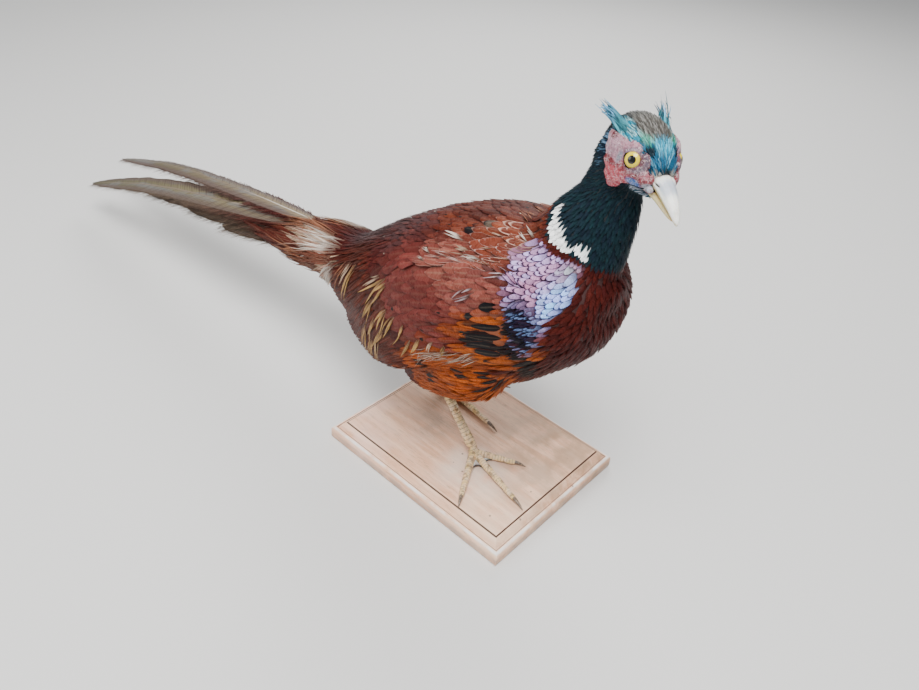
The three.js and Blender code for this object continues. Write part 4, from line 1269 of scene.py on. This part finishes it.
def plumes(name, lines, material):
    """Loose single plumes over the coat. Each line of the table says from where to where they
    lie, how many there are on a side, their spread, half width and colour."""
    roots_at, ways, reach, halves, colours = [], [], [], [], []
    for a, b, number, spread, half, colour in lines:
        for k in range(2 * number):
            side = 1 if k % 2 else -1
            start = np.array(a, float) + rng.normal(0, spread, 3)
            straight = np.array(b, float) - a
            way = straight + rng.normal(0, 0.09 * np.linalg.norm(straight), 3)
            roots_at.append((start[0], MID_Y + side * start[1], start[2]))
            ways.append((way[0], side * way[1], way[2]))
            reach.append(np.linalg.norm(way) * rng.uniform(0.55, 1.1))
            halves.append(half * rng.uniform(0.6, 1.3))
            colours.append(np.array(colour) * rng.uniform(0.6, 1.15))
    roots_at, ways, reach, halves, colours = (
        np.array(each) for each in (roots_at, ways, reach, halves, colours))
    number = len(roots_at)
    places, normals = drape(roots_at, reach, coat_depth(roots_at) + rng.uniform(0.9, 2.0, number),
                            np.full(number, 0.06), PLUME_STEPS, flow=ways)
    # They leave the coat at their roots already near its surface.
    start_lift = (0.75 * coat_depth(roots_at))[:, None] * np.linspace(1, 0, PLUME_STEPS)
    places = places + normals * start_lift[:, :, None]
    # Each bows a little to one side.
    along = np.linspace(0, 1, PLUME_STEPS)[None, :, None]
    sideways = np.cross(places[:, -1] - places[:, 0], normals[:, 0])[:, None]
    places = places + sideways * rng.normal(0, 0.12, (number, 1, 1)) * along * (1 - along)
    # Those that would stand off the coat are dropped, except some that trail past its end.
    gap, trailing = gap_under(places[:, -1]), places[:, -1, 0] < COAT_END
    kept = (gap < PLUME_GAP) | (trailing & (gap < TRAILING_GAP))
    kept &= places[:, -1, 2] < places[:, 0, 2] + 6
    places, normals, halves, colours = (each[kept] for each in (places, normals, halves, colours))
    number = len(places)
    # Stained by the plumage round their roots, clean at the tips.
    clean = rise(along, 0.0, 0.5) * rng.uniform(0.6, 1, (number, 1, 1))
    shades = np.array(PLUME_ROOT) + (colours[:, None] - PLUME_ROOT) * clean
    half = vane_shape(PLUME_STEPS, halves, np.full(number, 0.9))
    made = weave(name, places, normals, half, shades, colours * 0.35,
                 np.tile((0.1, 0.25, 0, 0), (number, 1)), across=2)
    made.data.materials.append(material)
    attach(made, "root")


plumage("breast_feathers", "breast", silky)

# ---------------------------------------------------------------- back, mantle and rump plumage
# Rounded scapulars and mantle feathers lie over the back; behind them the rump is covered by
# narrow, hair-like purple-grey plumes.
plumage("back_feathers", "mantle", silky)
# Worn cream plumes lie loose over the scapulars.
BACK_PLUMES = [
    ((2, 41, 233), (-16, 38, 228), 4, 1.6, 0.9, PALE),
    ((11, 46, 231), (-2, 45, 227), 4, 2.0, 0.9, CREAM),
    ((26, 50, 232), (12, 52, 226), 4, 2.0, 0.7, PALE),
    ((38, 52, 231), (26, 56, 222), 3, 2.0, 0.6, CREAM),
    ((44, 44, 237), (33, 47, 233), 2, 3.2, 0.6, DULL),
    ((28, 38, 241), (18, 40, 237), 2, 2.4, 0.6, CREAM),
    ((-21, 49, 216), (-29, 46, 215), 2, 0.8, 0.9, PALE),
    ((-14, 64, 219), (-22, 61, 214), 2, 0.8, 0.9, PALE),
    ((50, 23, 251), (37, 19, 251), 3, 1.4, 0.6, PALE),
    ((48, 29, 248), (36, 26, 247), 2, 1.4, 0.6, PALE),
    ((37, 13, 253), (22, 8, 253), 3, 2.4, 0.5, RUST),
    ((36, 3, 254), (22, 5, 252), 3, 2.0, 0.45, RUST),
    ((52, 54, 233), (43, 57, 227), 3, 2.4, 0.6, (0.56, 0.46, 0.50)),
    ((22, 55, 226), (8, 57, 219), 5, 4.0, 0.7, (0.60, 0.42, 0.38)),
    ((0, 54, 224), (-15, 53, 217), 5, 4.0, 0.7, (0.58, 0.38, 0.33)),
    ((36, 62, 219), (24, 66, 209), 4, 3.0, 0.7, (0.56, 0.46, 0.50)),
]
plumes("back_plumes", BACK_PLUMES, silky)

# ---------------------------------------------------------------- wing plumage
# The folded wings show broad burgundy coverts in rows; the worn flight feathers behind hang
# down loosely with golden-buff edges.
plumage("wing_feathers", "wing", silky)
WING_PLUMES = [
    ((-53, 63, 182), (-84, 58, 150), 3, 1.5, 1.2, GOLD),
    ((-62, 59, 180), (-80, 57, 165), 3, 1.2, 1.0, CREAM),
    ((-50, 65, 181), (-65, 63, 157), 3, 1.5, 1.36, GOLD),
    ((-67, 63, 157), (-81, 57, 120), 3, 1.6, 1.44, GOLD),
    ((-80, 60, 127), (-84, 54, 90), 6, 2.4, 1.2, GOLD),
    ((-60, 66, 144), (-74, 59, 108), 3, 1.6, 1.44, GOLD),
    ((-46, 69, 161), (-58, 65, 132), 3, 1.4, 1.36, GOLD),
    ((-34, 71, 162), (-46, 67, 132), 3, 1.3, 1.44, GOLD),
    ((-23, 73, 160), (-33, 69, 136), 2, 1.2, 1.28, GOLD),
    ((-50, 68, 136), (-64, 58, 100), 3, 1.6, 1.2, GOLD),
    ((-66, 62, 120), (-72, 56, 86), 6, 2.8, 1.2, GOLD),
    ((-14, 72, 152), (-22, 68, 128), 2, 1.0, 1.2, GOLD),
    ((-4, 73, 158), (-11, 71, 138), 2, 1.0, 1.3, GOLD),
    ((8, 73, 162), (2, 72, 147), 2, 1.0, 1.1, CREAM),
    ((20, 72, 166), (16, 71, 154), 2, 1.0, 1.0, GOLD),
    ((-58, 64, 128), (-64, 58, 98), 3, 1.6, 1.1, (0.66, 0.45, 0.24)),
]
plumes("wing_plumes", WING_PLUMES, silky)

# ---------------------------------------------------------------- flank and thigh plumage
# Long orange flank feathers with black ends cover the root of the wing and the leg, and the
# thigh is dressed in softer ones barred finely with black.
plumage("flank_feathers", "thigh", silky)
# Wisps of white down show between the wing's edge and the thigh.
DOWN = (0.86, 0.68, 0.54)
plumes("flank_down", [
    ((44, 66, 165), (26, 69, 151), 12, 2.2, 0.26, DOWN),
    ((34, 68, 162), (14, 70, 148), 14, 2.4, 0.26, DOWN),
    ((22, 70, 158), (0, 71, 144), 14, 2.4, 0.26, DOWN),
    ((10, 71, 154), (-10, 70, 136), 12, 2.4, 0.26, DOWN),
    ((-2, 72, 148), (-14, 68, 130), 6, 2.2, 0.25, DOWN),
], silky)

# ---------------------------------------------------------------- neck plumage
# Short, narrow and overlapping like scales: blue-green black with a hard gloss, broken at the
# sides by the white collar.
glossy = feather_finish("neck_feathers", 0.28, (0.004, 0.007, 0.011), 0.0001)
plumage("neck_feathers", "neck", glossy, steps=5, across=3)

# ---------------------------------------------------------------- head plumage
# The smallest feathers of all root in the skin of the skull, bristle-short round the bill and
# lying back over the crown: grey-brown on top, and metallic blue and green over the eyes.
plumage("head_feathers", "head", glossy, steps=5, across=2)

# ---------------------------------------------------------------- tail covert plumage
# Long loose feathers root at the end of the rump and run back over the quills of the tail, so
# that none of these is seen bare. They are rusty, with a worn cream patch on either side.
plumage("covert_feathers", "tail_coverts", silky)
COVERT_PLUMES = [
    ((-165, 20, 149), (-222, 18, 137), 18, 4.0, 1.2, CREAM),
    ((-170, 18, 147), (-226, 22, 133), 14, 4.0, 1.0, DULL),
    ((-160, 20, 148), (-210, 24, 136), 26, 3.4, 1.2, PALE),
    ((-160, 28, 142), (-214, 30, 130), 10, 3.5, 1.0, DULL),
    ((-160, 32, 138), (-206, 32, 124), 22, 2.4, 1.2, (0.20, 0.055, 0.035)),
    ((-148, 37, 136), (-172, 40, 112), 24, 3.5, 1.1, PALE),
    ((-150, 36, 132), (-182, 39, 108), 12, 3.5, 1.0, DULL),
    ((-160, 36, 126), (-186, 38, 104), 8, 3.5, 1.1, CREAM),
    ((-176, 36, 124), (-238, 34, 106), 16, 4.0, 1.2, (0.24, 0.075, 0.04)),
    ((-200, 4, 147), (-270, 10, 133), 14, 3.5, 1.2, RUST),
    ((-176, 13, 149), (-240, 9, 136), 14, 3.0, 1.1, RUST),
    ((-190, 30, 128), (-240, 27, 112), 14, 3.5, 1.1, RUST),
    ((-126, 38, 152), (-140, 46, 130), 8, 3.0, 0.9, RUST),
    ((-224, 4, 140), (-310, 9, 130), 26, 4.5, 0.8, (0.12, 0.03, 0.025)),
    ((-117, 40, 160), (-122, 48, 140), 5, 2.5, 0.9, CREAM),
    ((-108, 44, 160), (-118, 50, 128), 5, 3.0, 1.3, GOLD),
]
plumes("covert_plumes", COVERT_PLUMES, silky)

# ---------------------------------------------------------------- ear tufts
# A tuft of stiff narrow feathers stands up behind each eye like a horn, bright teal at its
# root and dark blue at the points.
TUFT_ROOT, TUFT_TIP = np.array([-10.0, 12.8, 15.5]), np.array([-35.0, 22.0, 21.5])
TUFT_COUNT, TUFT_STEPS = 84, 7
for side, side_name, longest in ((1, "left", 1.08), (-1, "right", 0.93)):
    start = TUFT_ROOT + rng.normal(0, 1, (TUFT_COUNT, 3)) * (3.4, 1.5, 1.5)
    reach = rng.uniform(0.45, longest, (TUFT_COUNT, 1))
    end = start + (TUFT_TIP + rng.normal(0, 1, (TUFT_COUNT, 3)) * (2.2, 1.7, 2.6) - start) * reach
    t = np.linspace(0, 1, TUFT_STEPS)[None, :, None]
    arch = np.sin(t * math.pi) * rng.normal(1.4, 0.9, (TUFT_COUNT, 1, 1)) * np.array([0, 0.25, 1.0])
    local = start[:, None] + (end - start)[:, None] * t + arch
    normal = unit(rng.normal(0, 0.35, (TUFT_COUNT, 3)) + (0.25, 0.8, 0.6))
    places = from_head(local * (1, side, 1)).reshape(TUFT_COUNT, TUFT_STEPS, 3)
    normals = np.repeat(((normal * (1, side, 1)) @ HEAD_AXES.T)[:, None], TUFT_STEPS, axis=1)
    luck = rng.random((TUFT_COUNT, 1, 1))
    near = np.array([0.12, 0.46, 0.54]) * (0.25 + 1.5 * luck)
    far = np.array([0.17, 0.40, 0.62]) * (0.2 + 1.6 * rng.random((TUFT_COUNT, 1, 1)))
    tint = near + (far - near) * rise(t + 0.5 * (luck - 0.5), 0.35, 0.9)
    half = vane_shape(TUFT_STEPS, rng.uniform(0.45, 0.95, TUFT_COUNT), np.full(TUFT_COUNT, 0.85))
    tuft = weave("tuft_" + side_name, places, normals, half, tint, tint[:, 3] * 0.5,
                 np.tile((0.12, 0, 0, 0), (TUFT_COUNT, 1)), across=2)
    tuft.data.materials.append(glossy)
    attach(tuft, "root")
    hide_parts("ear_tuft_" + side_name)

# ---------------------------------------------------------------- tail feathers
# Eight long tapering feathers lie one on another and arch down to the points, the middle pair
# by far the longest. Each is buff along its shaft with fine dark bars and patches of painted
# grey-blue reflection, and its edges run out into a loose pinkish-brown fringe of separate barbs.
TAIL_RIDGE = np.array([(-640, 17, 52), (-570, 16, 74), (-510, 15, 92), (-440, 13, 108),
                       (-370, 12, 120), (-300, 10, 131), (-230, 9, 140), (-165, 8, 146)], float)
TAIL_ROOT_X = -188.0
TAIL_CROWN, TAIL_SLOPE, TAIL_SPACING, FAN_CURVE = 15.0, 0.5, 2.3, 0.9
# Tips of the left and right feather of each pair: x, y and greatest half width.
TAIL_PAIRS = {"central": ((-624, 14, 12.5), (-621, -31, 13.5)),
              "second": ((-490, 16, 11), (-480, -26, 13)),
              "third": ((-400, 20, 11), (-400, -24, 12.5)),
              "outer": ((-325, 24, 10), (-335, -24, 12))}
BLADE_STEPS, BLADE_ACROSS = 64, 12
TAPER = (4.2, 0.62)
# Spacing and greatest length in mm of the loose barbs along a vane's left and right edge.
FRINGE = {1: (1.15, 15), -1: (0.6, 24)}
TIP_DARKENING = np.array([0.68, 0.62, 0.73])
# Colours of the vane and of its edges on the two sides; the lower pairs' edges are painted paler to
# lift the shade they lie in.
BLADE_TINTS = {"left": ((0.27, 0.20, 0.125), (0.13, 0.09, 0.072)),
               "right": ((0.28, 0.22, 0.13), (0.13, 0.095, 0.07))}
MAROON_BARB = (0.11, 0.03, 0.025)


def tail_height(x, y, layer):
    """Height of the tail's surface, arched across its ridge, layer below the topmost feather."""
    ridge_y = np.interp(x, TAIL_RIDGE[:, 0], TAIL_RIDGE[:, 1])
    ridge_z = np.interp(x, TAIL_RIDGE[:, 0], TAIL_RIDGE[:, 2])
    away = np.hypot(y - ridge_y, TAIL_CROWN) - TAIL_CROWN
    return ridge_z - TAIL_SLOPE * away - layer * TAIL_SPACING


def blade_line(tip, part):
    """Centre x, y and half width of a tail feather at parts of its length."""
    x = TAIL_ROOT_X + (tip[0] - TAIL_ROOT_X) * part
    y = MID_Y + (tip[1] - MID_Y) * part ** FAN_CURVE
    return x, y, tip[2] * np.minimum(1, 0.45 + 2.2 * part) * (1 - part ** TAPER[0]) ** TAPER[1]


blade_finish = finish("tail_vanes", Specular_IOR_Level=0.35)
edge, v, tint, luck, x, y, slant, strands = vane_map(1.3, 1.1, 0.09, 4.0, 0.7)
drift_at = node("CombineXYZ", 0, {0: y * 0.022, 1: x * 0.12, 2: luck * 31.0})
drift = node("TexNoise", "Fac", {"Vector": drift_at, "Scale": 1.0, "Detail": 2.0})
colour = blend(tint, ramp(edge + (drift - 0.5) * 0.9, 0.25, 0.7), painted("rim"))
# Painted reflection: patches of grey-blue along the shaft.
painted_reflection = ramp(drift, 0.45, 0.62) * ramp(edge, 0.75, 0.2)
colour = blend(colour, painted_reflection * 0.6, (0.17, 0.175, 0.18))
pitch = maths("FRACT", slant / 13.5 + strands * 0.22)
colour = blend(colour, ramp(abs(pitch - 0.5), 0.09, 0.03) * 0.6, (0.06, 0.035, 0.028))
fine_pitch = maths("FRACT", slant / 4.4 + strands * 0.35)
fine_bars = ramp(abs(fine_pitch - 0.5), 0.3, 0.12) * ramp(edge, 0.15, 0.5)
colour = blend(colour, fine_bars * 0.7, (0.07, 0.05, 0.04))
colour = blend(colour, ramp(strands, 0.42, 0.72) * 0.5, (0.05, 0.034, 0.03))
colour = blend(colour, ramp(strands, 0.42, 0.25) * 0.3, (0.42, 0.36, 0.30))
shaft = ramp(edge, 0.075, 0.035)
stem = blend((0.66, 0.60, 0.52), ramp(v, 0.12, 0.4), (0.20, 0.15, 0.11))
colour = blend(colour, shaft * 0.85, stem)
surface(colour, strands * 0.3 + 0.32, strands + shaft * 1.6, 0.0002)

fringe_lines = []
for pair_number, (pair, tips) in enumerate(TAIL_PAIRS.items()):
    for n, (side_name, tip) in enumerate(zip(("left", "right"), tips)):
        layer = 2 * pair_number + n
        part = np.linspace(0, 1, BLADE_STEPS)
        x, y, half = blade_line(tip, part)
        half = np.maximum(half, 0.25)
        places = np.stack([x, y, tail_height(x, y, layer)], 1)[None]
        normals = np.tile(np.array([0.15, 0, 1.0]), (1, BLADE_STEPS, 1))
        tint, rim_colour = (np.array(each) for each in BLADE_TINTS[side_name])
        # Painted light: the lower pairs' edges are lightened against the shade they lie in.
        if pair_number:
            rim_colour = 1.45 * rim_colour
        tints = tint * (1 - part[:, None] ** 0.8 * TIP_DARKENING)
        blade = weave(f"tail_{pair}_vane_{side_name}", places, normals, half[None], tints[None],
                      rim_colour[None], np.zeros((1, 4)), across=BLADE_ACROSS, camber=0.0,
                      sweep=0.0)
        points = (vertex_array(blade.data) / MM).reshape(BLADE_STEPS, BLADE_ACROSS + 1, 3)
        u = np.linspace(-1, 1, BLADE_ACROSS + 1)[None]
        # Barbs part here and there along the edges.
        stray = waver(points.reshape(-1, 3) * (1, 0.2, 0) + layer * 40, 13)
        ragged = 1 + 0.07 * stray.reshape(BLADE_STEPS, -1) * np.abs(u) ** 2
        points[:, :, 1] = y[:, None] + (points[:, :, 1] - y[:, None]) * ragged
        points[:, :, 2] = (tail_height(points[:, :, 0], points[:, :, 1], layer)
                           + 0.7 * (1 - np.abs(u) ** 2.5) - 0.3)
        move_points(blade.data, points)
        blade.data.materials.append(blade_finish)
        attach(blade, "root")
        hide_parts(f"tail_{pair}_{side_name}")
        for edge_side in (-1, 1):
            spacing, longest = FRINGE[edge_side]
            count = int(abs(tip[0] - TAIL_ROOT_X) / spacing)
            part = np.sort(rng.uniform(0.1, 0.985, count))
            x, y, half = blade_line(tip, part)
            y = y + edge_side * half * 0.88
            root = np.stack([x, y, tail_height(x, y, layer) + 0.3], 1)
            out = rng.uniform(0.35, 0.95, count) * edge_side
            run = unit(np.stack([-np.ones(count), out + 0.04 * tip[1] / 30,
                                 -rng.uniform(0.1, 0.35, count) - 0.25 * part], 1))
            length = rng.uniform(7, longest, count) * (1 - 0.45 * part) + 2
            t = np.linspace(0, 1, 4)[None, :, None]
            bend = np.stack([np.zeros(count), -0.12 * edge_side * length, -0.10 * length], 1)
            lines = (root[:, None] + run[:, None] * length[:, None, None] * t
                     + bend[:, None] * t ** 2)
            surface_z = tail_height(lines[:, :, 0], lines[:, :, 1], layer)
            lines[:, :, 2] = np.minimum(lines[:, :, 2], surface_z + 0.6)
            far_colour = rim_colour * (1.3 if pair_number else 1.8)
            barb = MAROON_BARB + (far_colour - MAROON_BARB) * rise(part, 0.15, 0.55)[:, None]
            fringe_lines.append((lines, barb * rng.uniform(0.45, 1.5, (count, 1))))

lines, tints = (np.concatenate(each) for each in zip(*fringe_lines))
fringe = weave("tail_fringe", lines, np.tile(np.array([0.0, 0, 1.0]), (len(lines), 4, 1)),
               vane_shape(4, rng.uniform(0.3, 0.6, len(lines)), np.ones(len(lines))), tints, tints,
               np.zeros((len(lines), 4)), across=2)
fringe.data.materials.append(silky)
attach(fringe, "root")

# ---------------------------------------------------------------- shanks and feet
# Bare legs clad in overlapping horny scutes: large plates down the front of the shank and
# along the top of each toe, small scales elsewhere, with a blunt spur behind the shank.
BOARD_TOP = 18.3
# Middle of the foot, top of the shank, and the way each toe points, in degrees.
LEGS = {
    "right": {"foot": (16.5, -16), "heel": (-35, -15, 84),
              "headings": {"middle": -13.7, "inner": 28.3, "outer": -58.7, "hind": 138.3}},
    "left": {"foot": (-58.8, 30.7), "heel": (-91, 30, 86),
             "headings": {"middle": -8, "inner": -33, "outer": 49, "hind": 200}},
}
# Length of each toe and of its claw in mm.
TOES = {"middle": (60, 12.5), "inner": (37, 10), "outer": (51, 10.5), "hind": (15, 7)}
SHANK_PITCH, TOE_PITCH = 3.5, 2.5
TOE_HEIGHT, SHANK_HEIGHT = 3.0, 4.0
scaly = finish("leg_scutes", Specular_IOR_Level=0.4, Subsurface_Weight=0.08,
               Subsurface_Scale=0.0012)
coords = node("TexCoord", "Object")
ring, beside, ahead = axes(painted("scutes", "Vector"))
joint = ramp(abs(maths("FRACT", ring) - 0.5), 0.40, 0.49)
seam = ramp(abs(beside), 0.07, 0.02)
front = ramp(ahead, 0.35, 0.6)
small = node("TexVoronoi", "Distance", {"Vector": coords, "Scale": 620.0},
             feature="DISTANCE_TO_EDGE")
grooves = maths("MAXIMUM", maths("MAXIMUM", joint, seam * 0.5) * front,
                ramp(small, 0.11, 0.02) * (1.0 - front))
patchy = cloudy(coords, 190, 4)
colour = blend((0.88, 0.62, 0.33), ramp(patchy, 0.4, 0.65), (0.82, 0.62, 0.42))
colour = blend(colour, ramp(cloudy(coords, 90, 3), 0.5, 0.65) * 0.6, (0.64, 0.44, 0.13))
colour = blend(colour, ramp(cloudy(coords, 260, 4), 0.5, 0.62) * 0.7, (0.22, 0.13, 0.065))
colour = blend(colour, grooves * 0.75, (0.17, 0.125, 0.085))
# Darker low down on the toes, next to the board.
darker_low = ramp(axes(coords)[2] + patchy * 0.002, 0.0215, 0.0198)
colour = blend(colour, darker_low * 0.85, (0.07, 0.055, 0.045))
surface(colour, patchy * 0.3 + 0.35, 1.0 - grooves, 0.0003)


def heading_of(leg, toe):
    """Unit direction in which a toe points."""
    turn = math.radians(leg["headings"][toe])
    return np.array([math.cos(turn), math.sin(turn), 0.0])


def beside_line(points, a, b):
    """Distance from a line from a to b, and the distance along it, in mm."""
    a, b = np.array(a, float), np.array(b, float)
    along = (points - a) @ (b - a) / np.linalg.norm(b - a)
    t = np.clip(along / np.linalg.norm(b - a), 0, 1)
    return np.linalg.norm(points - a - t[:, None] * (b - a), axis=1), along


for side_name, leg in LEGS.items():
    made = remeshed("leg_" + side_name, ["shank_" + side_name, "foot_" + side_name], 0.62, 4)
    points = vertex_array(made.data) / MM
    normals = vertex_array(made.data, "vector")
    foot = np.array([*leg["foot"], BOARD_TOP + TOE_HEIGHT])
    heel = np.array(leg["heel"], float)
    best, along = beside_line(points, foot + (0, 0, SHANK_HEIGHT), heel)
    toe_forward = heading_of(leg, "middle")
    shank_way = unit(heel - foot)
    face_way = unit(toe_forward - shank_way * (toe_forward @ shank_way))
    across_way = np.cross(shank_way, face_way)
    scutes = np.stack([along / SHANK_PITCH, (points - foot) @ across_way / 3.7,
                       0.5 + 0.5 * (normals @ face_way)], 1)
    best = best - 1.2
    under_claw = np.zeros(len(points), bool)
    for name, (length, claw) in TOES.items():
        away, reach = beside_line(points, foot, foot + heading_of(leg, name) * (length + claw))
        nearer = away < best
        best[nearer] = away[nearer]
        toe_scutes = np.stack([reach / TOE_PITCH, np.full(len(points), 0.5),
                               0.5 + 0.5 * normals[:, 2]], 1)
        scutes[nearer] = toe_scutes[nearer]
        under_claw[nearer & (reach > length + 0.5)] = True
    store(made.data, "scutes", scutes)
    dome = 1 - np.abs((scutes[:, 0] % 1) - 0.5) ** 2 * 4
    swell = 0.3 + 0.3 * dome * rise(scutes[:, 2], 0.35, 0.65)
    swell *= rise(points[:, 2], BOARD_TOP + 0.2, BOARD_TOP + 1.4)
    swell[under_claw] = -0.8
    move_points(made.data, points + normals * swell[:, None])
    made.data.materials.append(scaly)
    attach(made, "root")
    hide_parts("shank_" + side_name, "foot_" + side_name)

# ---------------------------------------------------------------- webs between the toes
# Thin folds of dried skin join the front toes at their roots. They are stretched between the
# toes and sag in the middle, grey and darkened along the free edge.
WEBS = (("outer", "middle", 27.0, 25.0), ("middle", "inner", 24.0, 26.0))
membrane = finish("web_skin", Specular_IOR_Level=0.4, Subsurface_Weight=0.2,
                  Subsurface_Scale=0.001)
mottled = cloudy(node("TexCoord", "Object"), 420, 4)
colour = blend((0.70, 0.69, 0.66), ramp(mottled, 0.35, 0.7), (0.56, 0.53, 0.48))
colour = blend(colour, ramp(painted("free_edge", "Fac"), 0.80, 0.97), (0.05, 0.045, 0.045))
surface(colour, mottled * 0.3 + 0.35, mottled, 0.0002)
ACROSS, DEEP = 12, 8
for side_name, leg in LEGS.items():
    for first, second, first_reach, second_reach in WEBS:
        web = bmesh.new()
        edge_layer = web.verts.layers.float.new("free_edge")
        turns = [math.radians(leg["headings"][toe]) for toe in (first, second)]
        grid = []
        for i in range(ACROSS + 1):
            share = i / ACROSS
            turn = turns[0] + (turns[1] - turns[0]) * share
            sag = math.sin(math.pi * share)
            reach = (first_reach + (second_reach - first_reach) * share) * (1 - 0.42 * sag ** 0.7)
            line = []
            for j in range(DEEP + 1):
                r = 2.0 + (reach - 2.0) * j / DEEP
                vertex = web.verts.new(Vector((
                    leg["foot"][0] + r * math.cos(turn), leg["foot"][1] + r * math.sin(turn),
                    BOARD_TOP + 4.6 - 1.6 * sag - 1.0 * j / DEEP)) * MM)
                vertex[edge_layer] = j / DEEP
                line.append(vertex)
            grid.append(line)
        for i in range(ACROSS):
            for j in range(DEEP):
                corners = [grid[i][j], grid[i][j + 1], grid[i + 1][j + 1], grid[i + 1][j]]
                web.faces.new(corners if turns[1] > turns[0] else corners[::-1])
        mesh = bpy.data.meshes.new(f"web_{first}_{side_name}")
        web.to_mesh(mesh)
        web.free()
        made = take_up(mesh.name, mesh)
        worked(made, "SOLIDIFY", thickness=0.6 * MM, offset=-1)
        bpy.ops.object.shade_smooth_by_angle(angle=math.radians(50))
        made.data.materials.append(membrane)
        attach(made, "root")

# ---------------------------------------------------------------- claws
# Short curved claws of brown-grey horn with pale worn ridges. Each sheathes the last joint of
# its toe and rests with its point on the board.
claw_horn = finish("claw_horn", Specular_IOR_Level=0.5)
growth = cloudy(node("TexCoord", "Object"), 700, 3)
colour = blend((0.10, 0.07, 0.05), ramp(growth, 0.35, 0.7), (0.30, 0.22, 0.16))
surface(colour, growth * 0.3 + 0.2, growth, 0.0001)
# Sections of a claw: part of its length (mm where it is below 0), height and radius in mm.
CLAW_SECTIONS = [(-2.5, 2.9, 1.5), (0.0, 2.9, 1.75), (0.22, 2.85, 1.55), (0.45, 2.5, 1.3),
                 (0.68, 1.9, 0.95), (0.88, 1.1, 0.55), (1.02, 0.5, 0.16)]
for side_name, leg in LEGS.items():
    for toe, (length, claw) in TOES.items():
        lift = 2.0 if toe == "hind" else 0.0
        sections = [((part if part < 0 else part * claw), high + lift * (1 - max(part, 0)), radius)
                    for part, high, radius in CLAW_SECTIONS]
        made = fresh_object(f"claw_{toe}_{side_name}", lambda: bpy.ops.mesh.primitive_circle_add(
            vertices=14, radius=sections[0][2] * MM, fill_type="NGON",
            rotation=(0, math.radians(90), 0),
            location=(sections[0][0] * MM, 0, sections[0][1] * MM)))
        settle()
        bpy.ops.object.mode_set(mode="EDIT")
        bpy.ops.mesh.select_all(action="SELECT")
        for before, now in zip(sections, sections[1:]):
            bpy.ops.mesh.extrude_region_move(TRANSFORM_OT_translate={
                "value": ((now[0] - before[0]) * MM, 0, (now[1] - before[1]) * MM)})
            grow = now[2] / before[2]
            bpy.ops.transform.resize(value=(1, grow, grow),
                                     center_override=(now[0] * MM, 0, now[1] * MM))
        bpy.ops.mesh.select_all(action="SELECT")
        bpy.ops.mesh.normals_make_consistent(inside=False)
        bpy.ops.object.mode_set(mode="OBJECT")
        made.rotation_euler = (0, 0, math.radians(leg["headings"][toe]))
        made.location = Vector((*leg["foot"], BOARD_TOP)) * MM
        made.location += Vector(heading_of(leg, toe)) * length * MM
        settle()
        bpy.ops.object.shade_smooth_by_angle(angle=math.radians(50))
        made.data.materials.append(claw_horn)
        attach(made, "root")
